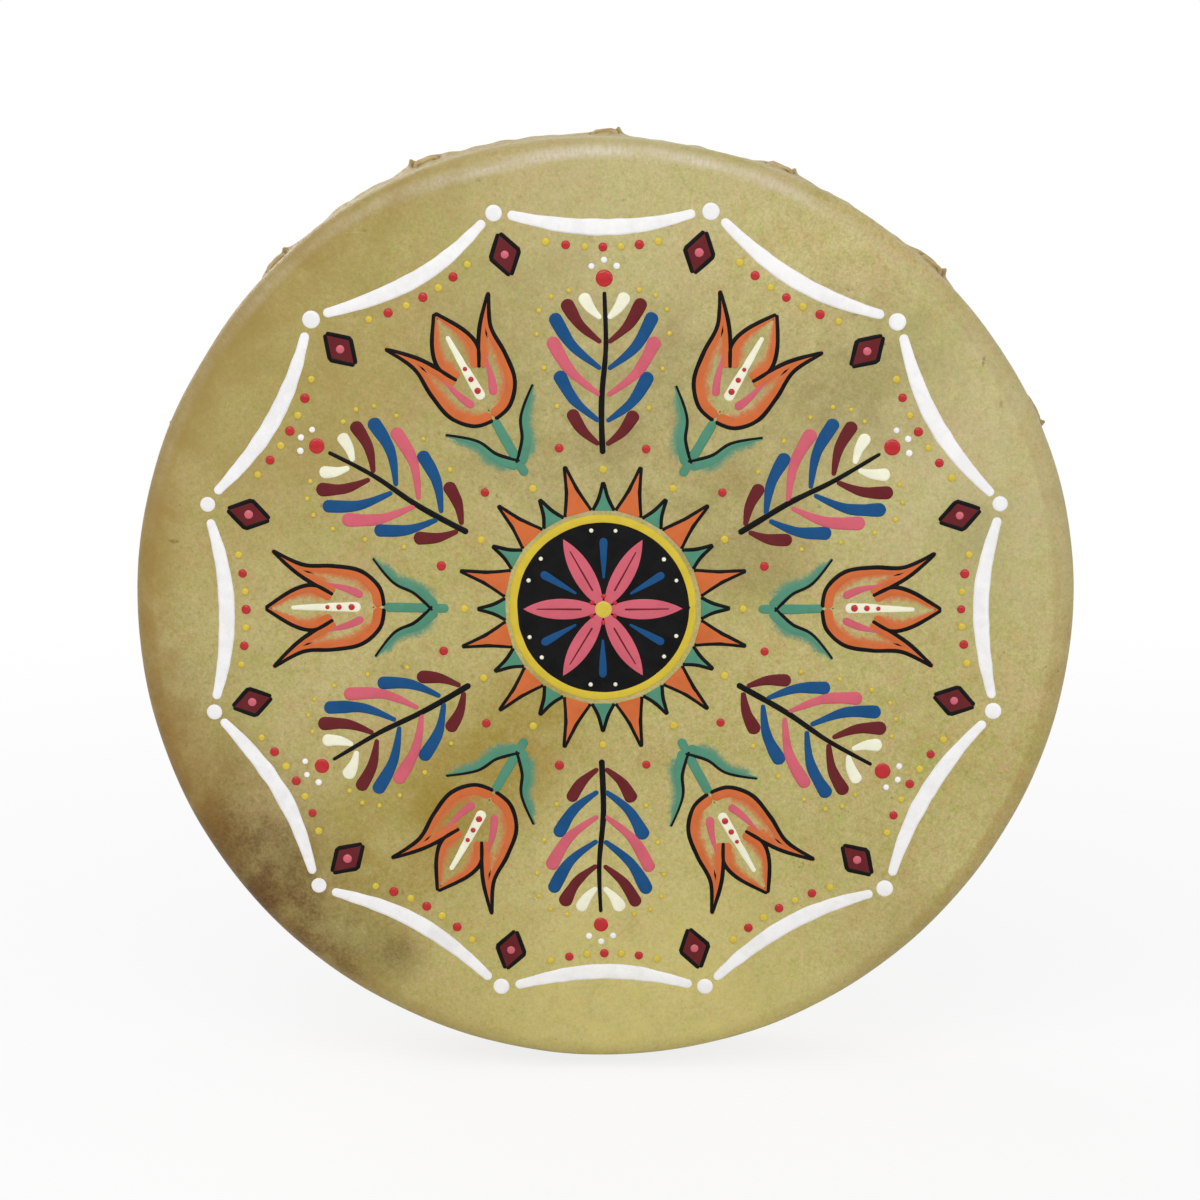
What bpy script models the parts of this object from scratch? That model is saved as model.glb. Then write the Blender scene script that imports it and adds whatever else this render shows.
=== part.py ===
"""Shaman drum: a rawhide head laced over a bent wooden hoop, with a cross-shaped grip at the back.

The drum's axis is Y. The head faces -Y and +Z is up. The origin is the middle of the grip ring, where the
hand holds the drum. Run with: blender --background --python part.py
"""

import math

import bmesh
import bpy
from mathutils import Matrix, Vector

# Driving dimensions, in metres
DRUM_RADIUS = 0.200
HIDE_THICKNESS = 0.0016
SHOULDER_RADIUS = 0.008
CLEARANCE = 0.0003

HOOP_DEPTH = 0.054
HOOP_THICKNESS = 0.007
HOOP_BACK_CHAMFER = 0.001

LIP_BEYOND_HOOP = 0.0055
LIP_LENGTH = 0.018
LIP_FLARE = 0.003
PUCKER_HEIGHT = 0.0015
PUCKER_HALF_WIDTH = 0.017

LACE_POINTS = 16
LACE_DIAMETER = 0.0026
HOLE_SPACING = 0.010
STITCH_BEND_RADIUS = 0.002
LEVEL_RUN = 0.0052

RING_RADIUS = 0.027
RING_BAR_DIAMETER = 0.006
RING_SINK = 0.003

ARMS = 4
SLEEVE_LENGTH = 0.060
SLEEVE_WALL = 0.0015
SLEEVE_SWELL = 0.0005
RING_TO_SLEEVE = 0.010
LAYER_GAP = 0.0005
FAN_START = 0.003
FAN_BEND_RADIUS = 0.006

# Counts of points and facets, the angle that keeps an edge sharp and the cutters' extra length
DRUM_SEGMENTS = 96
SHOULDER_STEPS = 5
LIP_STEPS = 3
RING_SEGMENTS = 48
RING_BAR_SIDES = 8
TURN_POINTS = 7
HOLE_SIDES = 8
SLEEVE_CORNER_STEPS = 4
SLEEVE_ROWS = 5
LACE_BEVEL_RESOLUTION = 1
SHARP_EDGE_ANGLE = math.radians(35)
PEG_OVERREACH = 3

# Each material's colour in linear light, its roughness and its metallic value
FINISHES = {
    "rawhide": ((0.50, 0.43, 0.20), 0.55, 0.0),
    "ash_wood": ((0.55, 0.38, 0.20), 0.5, 0.0),
    "iron": ((0.10, 0.095, 0.09), 0.4, 1.0),
    "leather": ((0.16, 0.07, 0.035), 0.7, 0.0),
    "lace_rawhide": ((0.58, 0.46, 0.26), 0.6, 0.0),
}

# Places along the drum's axis, from the front to the back
LACE_RADIUS = LACE_DIAMETER / 2
HOOP_BACK_Y = RING_SINK
HOOP_FRONT_Y = HOOP_BACK_Y - HOOP_DEPTH
HEAD_INNER_Y = HOOP_FRONT_Y - CLEARANCE
HEAD_FRONT_Y = HEAD_INNER_Y - HIDE_THICKNESS
LIP_EDGE_Y = HOOP_BACK_Y + LIP_BEYOND_HOOP
LIP_START_Y = LIP_EDGE_Y - LIP_LENGTH
LACE_Y = HOOP_BACK_Y + CLEARANCE + LACE_RADIUS

# Radii, from the outside to the middle
HOOP_OUTER_RADIUS = DRUM_RADIUS - HIDE_THICKNESS - CLEARANCE
HOOP_INNER_RADIUS = HOOP_OUTER_RADIUS - HOOP_THICKNESS
HOOP_MIDDLE_RADIUS = (HOOP_OUTER_RADIUS + HOOP_INNER_RADIUS) / 2
BEARING_RADIUS = SHOULDER_RADIUS - HIDE_THICKNESS - CLEARANCE
RING_BAR_RADIUS = RING_BAR_DIAMETER / 2
SLEEVE_START = RING_RADIUS + RING_BAR_RADIUS + RING_TO_SLEEVE
SLEEVE_END = SLEEVE_START + SLEEVE_LENGTH

# The bundle of strands in one arm of the grip
LOOPS_PER_ARM = LACE_POINTS // ARMS
STRAND_PITCH = LACE_DIAMETER + CLEARANCE
LAYER_Y = LACE_RADIUS + LAYER_GAP / 2
LACE_PITCH_ANGLE = 2 * math.pi / LACE_POINTS
ARM_PITCH_ANGLE = 2 * math.pi / ARMS
FIRST_ARM_ANGLE = LACE_PITCH_ANGLE / 2


def clear_scene():
    """Removes every object, so that the file holds only the drum."""
    for old in list(bpy.data.objects):
        bpy.data.objects.remove(old, do_unlink=True)


def make_material(name):
    """A Principled material with its finish."""
    color, roughness, metallic = FINISHES[name]
    material = bpy.data.materials.new(name)
    material.use_nodes = True
    shader = material.node_tree.nodes["Principled BSDF"]
    shader.inputs["Base Color"].default_value = (*color, 1.0)
    shader.inputs["Roughness"].default_value = roughness
    shader.inputs["Metallic"].default_value = metallic
    material.diffuse_color = (*color, 1.0)
    return material


def add_object(name, data, material):
    """Links a new object with this mesh or curve and material."""
    piece = bpy.data.objects.new(name, data)
    if not data.materials:
        data.materials.append(material)
    bpy.context.scene.collection.objects.link(piece)
    return piece


def turn_about_axis(piece, angle):
    """Turns a piece about the drum's axis, so that its own +X points at this angle in the XZ plane."""
    piece.rotation_euler = (0.0, -angle, 0.0)


def polar(radius, angle, y):
    """A point at a radius and an angle about the drum's axis."""
    return Vector((radius * math.cos(angle), y, radius * math.sin(angle)))


def mesh_from(bm, name):
    """A mesh with its faces pointing out, smooth except at sharp edges."""
    bmesh.ops.recalc_face_normals(bm, faces=bm.faces)
    mesh = bpy.data.meshes.new(name)
    bm.to_mesh(mesh)
    bm.free()
    mesh.shade_smooth()
    mesh.set_sharp_from_angle(angle=SHARP_EDGE_ANGLE)
    return mesh


def add_ring_of_points(bm, segments, point_at):
    """One closed row of vertices; point_at gives the place for each angle."""
    step = 2 * math.pi / segments
    return [bm.verts.new(point_at(k * step)) for k in range(segments)]


def join_rows(bm, rows, closed):
    """Fills the quads between neighbouring rows of vertices."""
    pairs = list(zip(rows, rows[1:]))
    if closed:
        pairs.append((rows[-1], rows[0]))
    for first, second in pairs:
        count = len(first)
        for k in range(count):
            following = (k + 1) % count
            bm.faces.new((first[k], first[following], second[following], second[k]))


def lip_share(y):
    """0 where the lip starts to curl outwards, 1 at its raw edge."""
    return max(0.0, (y - LIP_START_Y) / LIP_LENGTH)


def pucker(angle):
    """1 at a lacing point, falling to 0 half a pucker's width away."""
    offset = (angle + LACE_PITCH_ANGLE / 2) % LACE_PITCH_ANGLE - LACE_PITCH_ANGLE / 2
    distance = abs(offset) * DRUM_RADIUS
    if distance >= PUCKER_HALF_WIDTH:
        return 0.0
    return 0.5 + 0.5 * math.cos(math.pi * distance / PUCKER_HALF_WIDTH)


def head_bulge(angle, y):
    """How far the hide stands out from its straight wall at an angle and a depth."""
    rise = lip_share(y) ** 2
    return rise * (LIP_FLARE + PUCKER_HEIGHT * pucker(angle))


def head_profile(inset):
    """The head's outline as (radius, y), from face to raw edge, this far inside its outer skin."""
    arc_radius = SHOULDER_RADIUS - inset
    centre_radius = DRUM_RADIUS - SHOULDER_RADIUS
    centre_y = HEAD_FRONT_Y + SHOULDER_RADIUS
    outline = []
    for step in range(SHOULDER_STEPS + 1):
        turn = math.pi / 2 * step / SHOULDER_STEPS
        radius = centre_radius + arc_radius * math.sin(turn)
        outline.append((radius, centre_y - arc_radius * math.cos(turn)))
    for step in range(LIP_STEPS + 1):
        outline.append((DRUM_RADIUS - inset, LIP_START_Y + LIP_LENGTH * step / LIP_STEPS))
    return outline


def make_lace_hole_cutter():
    """Two pegs at each lacing point, through the lip from inside to outside."""
    bm = bmesh.new()
    peg_radius = (LACE_RADIUS + CLEARANCE) / math.cos(math.pi / HOLE_SIDES)
    peg_length = PEG_OVERREACH * (LIP_FLARE + PUCKER_HEIGHT + HIDE_THICKNESS)
    for point in range(LACE_POINTS):
        turn = Matrix.Rotation(-point * LACE_PITCH_ANGLE, 4, "Y")
        for side in (-1, 1):
            middle = Vector((DRUM_RADIUS + LIP_FLARE / 2, LACE_Y, side * HOLE_SPACING / 2))
            place = turn @ Matrix.Translation(middle) @ Matrix.Rotation(math.pi / 2, 4, "Y")
            bmesh.ops.create_cone(
                bm,
                cap_ends=True,
                segments=HOLE_SIDES,
                radius1=peg_radius,
                radius2=peg_radius,
                depth=peg_length,
                matrix=place,
            )
    cutter = bpy.data.objects.new("lace_hole_cutter", mesh_from(bm, "lace_hole_cutter"))
    bpy.context.scene.collection.objects.link(cutter)
    cutter.hide_render = True
    cutter.display_type = "WIRE"
    return cutter


def make_head(material):
    """The skin: flat face, rounded shoulder, side wall and curled raw lip, with its lace holes cut."""
    bm = bmesh.new()
    outline = head_profile(0.0) + list(reversed(head_profile(HIDE_THICKNESS)))
    rows = []
    for radius, y in outline:
        rows.append(
            add_ring_of_points(
                bm,
                DRUM_SEGMENTS,
                lambda angle, r=radius, d=y: polar(r + head_bulge(angle, d), angle, d),
            )
        )
    join_rows(bm, rows, closed=False)
    bm.faces.new(rows[0])
    bm.faces.new(rows[-1])
    head = add_object("rawhide_head", mesh_from(bm, "rawhide_head"), material)
    cut = head.modifiers.new("lace_holes", "BOOLEAN")
    cut.operation = "DIFFERENCE"
    cut.solver = "EXACT"
    cut.object = make_lace_hole_cutter()
    return head


def make_hoop(material):
    """The bent strip, with a rounded bearing edge at the front and eased corners at the back."""
    bm = bmesh.new()
    arc_centre_radius = HOOP_OUTER_RADIUS - BEARING_RADIUS
    arc_centre_y = HOOP_FRONT_Y + BEARING_RADIUS
    profile = [(HOOP_INNER_RADIUS, HOOP_FRONT_Y)]
    for step in range(SHOULDER_STEPS + 1):
        turn = math.pi / 2 * step / SHOULDER_STEPS
        radius = arc_centre_radius + BEARING_RADIUS * math.sin(turn)
        profile.append((radius, arc_centre_y - BEARING_RADIUS * math.cos(turn)))
    profile += [
        (HOOP_OUTER_RADIUS, HOOP_BACK_Y - HOOP_BACK_CHAMFER),
        (HOOP_OUTER_RADIUS - HOOP_BACK_CHAMFER, HOOP_BACK_Y),
        (HOOP_INNER_RADIUS + HOOP_BACK_CHAMFER, HOOP_BACK_Y),
        (HOOP_INNER_RADIUS, HOOP_BACK_Y - HOOP_BACK_CHAMFER),
    ]
    rows = [
        add_ring_of_points(bm, DRUM_SEGMENTS, lambda angle, r=radius, d=y: polar(r, angle, d))
        for radius, y in profile
    ]
    join_rows(bm, rows, closed=True)
    return add_object("wooden_hoop", mesh_from(bm, "wooden_hoop"), material)


def make_grip_ring(material):
    """The round ring at the middle of the back."""
    bm = bmesh.new()
    rows = []
    for side in range(RING_BAR_SIDES):
        turn = 2 * math.pi * side / RING_BAR_SIDES
        radius = RING_RADIUS + RING_BAR_RADIUS * math.cos(turn)
        y = RING_BAR_RADIUS * math.sin(turn)
        rows.append(
            add_ring_of_points(bm, RING_SEGMENTS, lambda angle, r=radius, d=y: polar(r, angle, d))
        )
    join_rows(bm, rows, closed=True)
    return add_object("grip_ring", mesh_from(bm, "grip_ring"), material)


def sleeve_outline(half_width, half_height, corner):
    """A rounded rectangle as (z, y), with the same count of points whatever its size."""
    points = []
    for quarter, (side, level) in enumerate(((1, 1), (-1, 1), (-1, -1), (1, -1))):
        for step in range(SLEEVE_CORNER_STEPS + 1):
            turn = math.pi / 2 * (quarter + step / SLEEVE_CORNER_STEPS)
            z = side * (half_width - corner) + corner * math.cos(turn)
            y = level * (half_height - corner) + corner * math.sin(turn)
            points.append((z, y))
    return points


def make_sleeve_mesh():
    """A leather tube along +X round the strands of one arm, a little fuller at its middle."""
    bm = bmesh.new()
    bore_width = (LOOPS_PER_ARM - 1) * STRAND_PITCH / 2 + LACE_RADIUS + CLEARANCE
    bore_height = LAYER_Y + LACE_RADIUS + CLEARANCE
    outer_rows, inner_rows = [], []
    for row in range(SLEEVE_ROWS):
        share = row / (SLEEVE_ROWS - 1)
        x = SLEEVE_START + SLEEVE_LENGTH * share
        wall = SLEEVE_WALL + SLEEVE_SWELL * math.sin(math.pi * share)
        outer = sleeve_outline(bore_width + wall, bore_height + wall, LACE_RADIUS + wall)
        inner = sleeve_outline(bore_width, bore_height, LACE_RADIUS)
        outer_rows.append([bm.verts.new((x, y, z)) for z, y in outer])
        inner_rows.append([bm.verts.new((x, y, z)) for z, y in inner])
    join_rows(bm, outer_rows + list(reversed(inner_rows)), closed=True)
    return mesh_from(bm, "grip_sleeve")


def make_sleeves(material):
    """One sleeve on each arm of the grip."""
    mesh = make_sleeve_mesh()
    for arm in range(ARMS):
        sleeve = add_object(f"grip_sleeve_{arm + 1}", mesh, material)
        turn_about_axis(sleeve, FIRST_ARM_ANGLE + arm * ARM_PITCH_ANGLE)


def turn_round_ring(offset):
    """The half turn of a lace round the ring's bar, from its back strand to its front strand."""
    turn_radius = RING_BAR_RADIUS + CLEARANCE + LACE_RADIUS
    centre = math.sqrt(RING_RADIUS**2 - offset**2)
    meeting = SLEEVE_START - CLEARANCE - centre
    reach = math.hypot(meeting, LAYER_Y)
    first = math.atan2(LAYER_Y, meeting) + math.acos(turn_radius / reach)
    points = []
    for k in range(TURN_POINTS):
        turn = first + (2 * math.pi - 2 * first) * k / (TURN_POINTS - 1)
        x = centre + turn_radius * math.cos(turn)
        points.append(Vector((x, turn_radius * math.sin(turn), offset)))
    return points


def eased_corner(before, corner, after, radius):
    """Three points that round off a corner."""
    towards_before = (before - corner).normalized()
    towards_after = (after - corner).normalized()
    half_angle = towards_before.angle(towards_after) / 2
    cut = radius / math.tan(half_angle)
    bisector = (towards_before + towards_after).normalized()
    dip = radius / math.sin(half_angle) - radius
    return [
        corner + towards_before * cut,
        corner + bisector * dip,
        corner + towards_after * cut,
    ]


def stitch_radius():
    """How far from the axis the outside stitch's centre line runs, clear of the curled lip."""
    lip_surface = DRUM_RADIUS + head_bulge(0.0, LACE_Y)
    slope = 2 * lip_share(LACE_Y) * (LIP_FLARE + PUCKER_HEIGHT) / LIP_LENGTH
    lean = math.atan(slope)
    return lip_surface + (LACE_RADIUS + CLEARANCE) / math.cos(lean) ** 2


def rim_leg(point_angle, side):
    """A strand's points at the rim: inside the hoop, over its back edge and up to the stitch's bend."""
    outward = Vector((math.cos(point_angle), 0.0, math.sin(point_angle)))
    along = Vector((-math.sin(point_angle), 0.0, math.cos(point_angle)))
    place = along * (side * HOLE_SPACING / 2) + Vector((0.0, LACE_Y, 0.0))
    over_hoop = outward * HOOP_MIDDLE_RADIUS + place
    bend = outward * stitch_radius() + place
    return over_hoop, bend


def strand(slot, side):
    """One strand of a loop, from the sleeve's mouth to the level run over the hoop; the back one has side 1."""
    offset = (slot - (LOOPS_PER_ARM - 1) / 2) * STRAND_PITCH
    point_angle = (slot - (LOOPS_PER_ARM - 1) / 2) * LACE_PITCH_ANGLE
    mouth = Vector((SLEEVE_START - CLEARANCE, side * LAYER_Y, offset))
    fan_corner = Vector((SLEEVE_END + FAN_START, side * LAYER_Y, offset))
    over_hoop, _ = rim_leg(point_angle, side)
    run = over_hoop - fan_corner
    shortfall = (HOOP_THICKNESS / 2 + LEVEL_RUN) / run.length
    inside_hoop = over_hoop - run * shortfall
    inside_hoop.y = LACE_Y
    bend = eased_corner(mouth, fan_corner, inside_hoop, FAN_BEND_RADIUS)
    return [mouth, *bend, inside_hoop, over_hoop]


def lace_loop_route(slot):
    """The closed centre line of one lace loop, with its arm of the grip along +X."""
    point_angle = (slot - (LOOPS_PER_ARM - 1) / 2) * LACE_PITCH_ANGLE
    offset = (slot - (LOOPS_PER_ARM - 1) / 2) * STRAND_PITCH
    over_back, bend_back = rim_leg(point_angle, 1)
    over_front, bend_front = rim_leg(point_angle, -1)
    return [
        *turn_round_ring(offset),
        *strand(slot, -1),
        *eased_corner(over_front, bend_front, bend_back, STITCH_BEND_RADIUS),
        *eased_corner(bend_front, bend_back, over_back, STITCH_BEND_RADIUS),
        *reversed(strand(slot, 1)),
    ]


def make_lace_curve(slot):
    """A round lace along the loop's route."""
    route = lace_loop_route(slot)
    curve = bpy.data.curves.new(f"lace_loop_{slot + 1}", "CURVE")
    curve.dimensions = "3D"
    curve.bevel_depth = LACE_RADIUS
    curve.bevel_resolution = LACE_BEVEL_RESOLUTION
    spline = curve.splines.new("POLY")
    spline.points.add(len(route) - 1)
    for point, place in zip(spline.points, route):
        point.co = (*place, 1.0)
    spline.use_cyclic_u = True
    spline.use_smooth = True
    return curve


def make_lace_loops(material):
    """A loop of lace from the ring to each lacing point."""
    for slot in range(LOOPS_PER_ARM):
        curve = make_lace_curve(slot)
        for arm in range(ARMS):
            number = arm * LOOPS_PER_ARM + slot + 1
            loop = add_object(f"lace_loop_{number:02d}", curve, material)
            turn_about_axis(loop, FIRST_ARM_ANGLE + arm * ARM_PITCH_ANGLE)


def main():
    clear_scene()
    make_head(make_material("rawhide"))
    make_hoop(make_material("ash_wood"))
    make_grip_ring(make_material("iron"))
    make_sleeves(make_material("leather"))
    make_lace_loops(make_material("lace_rawhide"))


main()
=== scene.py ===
"""The looks of the shaman drum: a painted rawhide head, bent hoop, rawhide laces and a leather-bound grip.

The drum's axis is Y, the head faces -Y and +Z is up. The origin is the middle of the grip ring.
"""

import math
import random
from functools import cache

import bmesh
import bpy
from mathutils import Matrix, Vector, noise


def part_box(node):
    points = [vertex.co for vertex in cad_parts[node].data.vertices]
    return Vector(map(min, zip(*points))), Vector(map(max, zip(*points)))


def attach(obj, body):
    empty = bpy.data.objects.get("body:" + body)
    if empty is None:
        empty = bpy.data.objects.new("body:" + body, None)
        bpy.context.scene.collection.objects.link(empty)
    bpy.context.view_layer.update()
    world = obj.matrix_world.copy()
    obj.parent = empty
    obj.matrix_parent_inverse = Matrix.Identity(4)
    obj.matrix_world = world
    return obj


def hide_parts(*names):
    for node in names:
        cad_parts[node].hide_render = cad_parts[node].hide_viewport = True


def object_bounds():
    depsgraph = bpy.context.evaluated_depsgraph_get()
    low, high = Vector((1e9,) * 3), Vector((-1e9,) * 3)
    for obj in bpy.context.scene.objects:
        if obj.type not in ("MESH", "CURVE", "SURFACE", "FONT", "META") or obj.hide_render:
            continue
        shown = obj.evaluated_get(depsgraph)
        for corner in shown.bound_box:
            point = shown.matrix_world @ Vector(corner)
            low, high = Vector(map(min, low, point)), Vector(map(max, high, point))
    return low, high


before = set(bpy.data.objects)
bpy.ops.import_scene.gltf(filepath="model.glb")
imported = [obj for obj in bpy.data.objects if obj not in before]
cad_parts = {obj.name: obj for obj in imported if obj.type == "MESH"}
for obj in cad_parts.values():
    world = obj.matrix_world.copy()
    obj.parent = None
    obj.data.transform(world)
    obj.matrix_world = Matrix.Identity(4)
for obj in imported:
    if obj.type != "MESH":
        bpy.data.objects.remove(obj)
cad_low, cad_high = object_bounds()

MM = 0.001
TURN = 2 * math.pi
SEED = 22

# Sizes read from the frame
HEAD_LOW, HEAD_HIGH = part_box("rawhide_head")
HOOP_LOW, HOOP_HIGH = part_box("wooden_hoop")
RING_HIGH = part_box("grip_ring")[1]
FACE_Y = HEAD_LOW.y
LIP_EDGE_Y = HEAD_HIGH.y
HOOP_FRONT_Y = HOOP_LOW.y
HOOP_BACK_Y = HOOP_HIGH.y
HOOP_OUTER_RADIUS = HOOP_HIGH.x
CLEARANCE = 0.3 * MM
HIDE_THICKNESS = HOOP_FRONT_Y - CLEARANCE - FACE_Y
DRUM_RADIUS = HOOP_OUTER_RADIUS + CLEARANCE + HIDE_THICKNESS
RING_BAR_RADIUS = RING_HIGH.y
RING_RADIUS = RING_HIGH.x - RING_BAR_RADIUS

# Sizes shared with the solids
SHOULDER_RADIUS = 8 * MM
HOOP_THICKNESS = 7 * MM
LIP_LENGTH = 18 * MM
LIP_FLARE = 3 * MM
PUCKER_HEIGHT = 1.5 * MM
PUCKER_HALF_WIDTH = 17 * MM
LACE_POINTS = 16
LACE_RADIUS = 1.3 * MM
HOLE_SPACING = 10 * MM
ARMS = 4
SLEEVE_LENGTH = 60 * MM
SLEEVE_WALL = 1.5 * MM
RING_TO_SLEEVE = 10 * MM
LAYER_GAP = 0.5 * MM
FAN_START = 3 * MM

LIP_START_Y = LIP_EDGE_Y - LIP_LENGTH
LACE_Y = HOOP_BACK_Y + CLEARANCE + LACE_RADIUS
HOOP_INNER_RADIUS = HOOP_OUTER_RADIUS - HOOP_THICKNESS
HOOP_MIDDLE_RADIUS = HOOP_OUTER_RADIUS - HOOP_THICKNESS / 2
BEARING_RADIUS = SHOULDER_RADIUS - HIDE_THICKNESS - CLEARANCE
SLEEVE_START = RING_RADIUS + RING_BAR_RADIUS + RING_TO_SLEEVE
SLEEVE_END = SLEEVE_START + SLEEVE_LENGTH
LOOPS_PER_ARM = LACE_POINTS // ARMS
STRAND_PITCH = 2 * LACE_RADIUS + CLEARANCE
LAYER_Y = LACE_RADIUS + LAYER_GAP / 2
LACE_PITCH_ANGLE = TURN / LACE_POINTS
ARM_PITCH_ANGLE = TURN / ARMS
FIRST_ARM_ANGLE = LACE_PITCH_ANGLE / 2

# The camera, placed from the outline of the head in the 1200 x 1200 photograph
PHOTO_SIZE = 1200
CAMERA_DISTANCE = 1.2
CAMERA_ELEVATION = 9.8
CAMERA_AZIMUTH = 0.6
FOCAL_PIXELS = 2815
FACE_CENTRE_PIXEL = (603.0, 608.7)
SENSOR_WIDTH = 36.0


def linear(*display):
    """A display colour of 0 to 255 as linear red, green, blue and alpha."""
    shares = [value / 255 for value in display]
    return (*[s / 12.92 if s <= 0.04045 else ((s + 0.055) / 1.055) ** 2.4 for s in shares], 1.0)


WHITE = (1.0, 1.0, 1.0, 1.0)
HIDE_COLOR = linear(188, 176, 110)
HIDE_PALE = linear(203, 192, 134)
HIDE_DEEP = linear(156, 136, 68)
HIDE_SMOKE = linear(88, 56, 6)
HIDE_AMBER = linear(148, 112, 44)
# Pale band colour: stretched skin over the hoop's edge, partly painted highlight
HIDE_PALE_AND_HIGHLIGHT = linear(216, 205, 188)
HIDE_STRAW = linear(210, 196, 118)
HIDE_DUSK = linear(138, 126, 72)
HIDE_OCHRE = linear(150, 124, 24)
# Painted glare colour, for pale patches where the face looks lit
HIDE_PAINTED_GLARE = linear(196, 188, 150)
HIDE_RUST = linear(188, 148, 92)
HIDE_MOSS = linear(160, 166, 72)
HIDE_ROSE = linear(204, 166, 132)
HIDE_FLECK = linear(92, 66, 32)
HIDE_INSIDE = linear(206, 190, 146)

PAINTS = {
    "white": linear(239, 238, 238),
    "cream": linear(236, 235, 211),
    "black": linear(9, 8, 9),
    "blue": linear(22, 76, 125),
    "maroon": linear(100, 32, 36),
    "pink": linear(203, 95, 110),
    "red": linear(183, 24, 30),
    "teal": linear(80, 138, 113),
    "orange": linear(202, 105, 56),
    "yellow": linear(208, 184, 58),
}


class Tree:
    """A short way to write the nodes of a material or of the world."""

    def __init__(self, owner):
        owner.use_nodes = True
        self.owner = owner
        self.nodes = owner.node_tree.nodes
        self.links = owner.node_tree.links

    def set(self, socket, value):
        if isinstance(value, bpy.types.NodeSocket):
            self.links.new(value, socket)
        else:
            socket.default_value = value

    def fill(self, node, **sockets):
        """Sets or links a node's inputs, whose names have _ for a space here."""
        for key, value in sockets.items():
            self.set(node.inputs[key.replace("_", " ")], value)
        return node

    def add(self, kind, settings=None, **sockets):
        node = self.nodes.new(f"ShaderNode{kind}")
        for key, value in (settings or {}).items():
            setattr(node, key, value)
        return self.fill(node, **sockets)

    def coordinates(self, name="Object"):
        return self.add("TexCoord").outputs[name]

    def axes(self, vector):
        return list(self.add("SeparateXYZ", Vector=vector).outputs)

    def noise(self, vector, scale, detail=3.0, roughness=0.5, distortion=0.0, field=0.0):
        """Noise, stretched where three scales are given; another field number gives another pattern."""
        if isinstance(scale, tuple):
            vector = self.add("Mapping", Vector=vector, Scale=scale).outputs["Vector"]
            scale = 1.0
        form = {"Detail": detail, "Roughness": roughness, "Distortion": distortion}
        node = self.add("TexNoise", {"noise_dimensions": "4D"}, Vector=vector, Scale=scale, W=field, **form)
        return node.outputs["Fac"]

    def ramp(self, value, low, high, to_low=0.0, to_high=1.0):
        """A smooth step from one value to the other while the input goes from low to high."""
        ends = {"From_Min": low, "From_Max": high, "To_Min": to_low, "To_Max": to_high}
        node = self.add("MapRange", {"interpolation_type": "SMOOTHSTEP"}, Value=value, **ends)
        return node.outputs["Result"]

    def math(self, operation, first, second=0.0):
        node = self.add("Math", {"operation": operation})
        self.set(node.inputs[0], first)
        self.set(node.inputs[1], second)
        return node.outputs[0]

    def times(self, product, *factors):
        for factor in factors:
            product = self.math("MULTIPLY", product, factor)
        return product

    def hypot(self, first, second):
        squares = self.math("ADD", self.math("POWER", first, 2.0), self.math("POWER", second, 2.0))
        return self.math("SQRT", squares)

    def mix(self, factor, first, second, blend="MIX"):
        node = self.add("Mix", {"data_type": "RGBA", "blend_type": blend}, Factor=factor)
        self.set(node.inputs[6], first)
        self.set(node.inputs[7], second)
        return node.outputs[2]

    def tint(self, color, tint_color, *shares):
        """The colour mixed towards another one, by the product of the shares."""
        return self.mix(self.times(*shares), color, tint_color)

    def near(self, vector, place, inner, outer):
        """1 within the inner distance of a place, 0 past the outer one."""
        node = self.add("VectorMath", {"operation": "DISTANCE"}, Vector=vector)
        node.inputs[1].default_value = place
        return self.ramp(node.outputs["Value"], inner, outer, 1.0, 0.0)

    def finish(self, color, roughness, *bumps, **values):
        """The material; its bumps are (height, distance in metres), each laid over the last."""
        below = {}
        for height, distance in bumps:
            bump = self.add("Bump", Height=height, Distance=distance, Strength=1.0, **below)
            below = {"Normal": bump.outputs["Normal"]}
        shader = self.nodes["Principled BSDF"]
        self.fill(shader, Base_Color=color, Roughness=roughness, **below, **values)
        return self.owner


def new_tree(name):
    return Tree(bpy.data.materials.new(name))


def new_object(name, data):
    thing = bpy.data.objects.new(name, data)
    bpy.context.scene.collection.objects.link(thing)
    return thing


def piece_from(name, vertices, faces, material, replaced=None, uvs=None):
    """A closed mesh piece of the drum, riding on its one body."""
    mesh = bpy.data.meshes.new(name)
    mesh.from_pydata(vertices, [], faces)
    mesh.update()
    if uvs is not None:
        layer = mesh.uv_layers.new(name="UVMap")
        for loop in mesh.loops:
            layer.data[loop.index].uv = uvs[loop.vertex_index]
    mesh.shade_smooth()
    mesh.materials.append(material)
    turn_faces_out(mesh)
    piece = new_object(name, mesh)
    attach(piece, "root")
    if replaced:
        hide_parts(replaced)
    return piece


def turn_faces_out(mesh):
    bm = bmesh.new()
    bm.from_mesh(mesh)
    bmesh.ops.recalc_face_normals(bm, faces=bm.faces)
    bm.to_mesh(mesh)
    bm.free()


def grid_faces(rows, columns, closed_rows=False, first=0):
    """Quads over rows of vertices from a first vertex on, each row being a closed ring."""
    faces = []
    for row in range(rows if closed_rows else rows - 1):
        here, below = first + row * columns, first + (row + 1) % rows * columns
        for column in range(columns):
            following = (column + 1) % columns
            faces.append((here + column, here + following, below + following, below + column))
    return faces


def capped_faces(rows, columns, first=0):
    """Quads over rows of vertices, with a cap on the first row and one on the last."""
    last = first + (rows - 1) * columns
    caps = [tuple(reversed(range(first, first + columns))), tuple(range(last, last + columns))]
    return grid_faces(rows, columns, first=first) + caps


def polar(radius, angle):
    """A place at a radius and an angle, as (across, up)."""
    return radius * math.cos(angle), radius * math.sin(angle)


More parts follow.
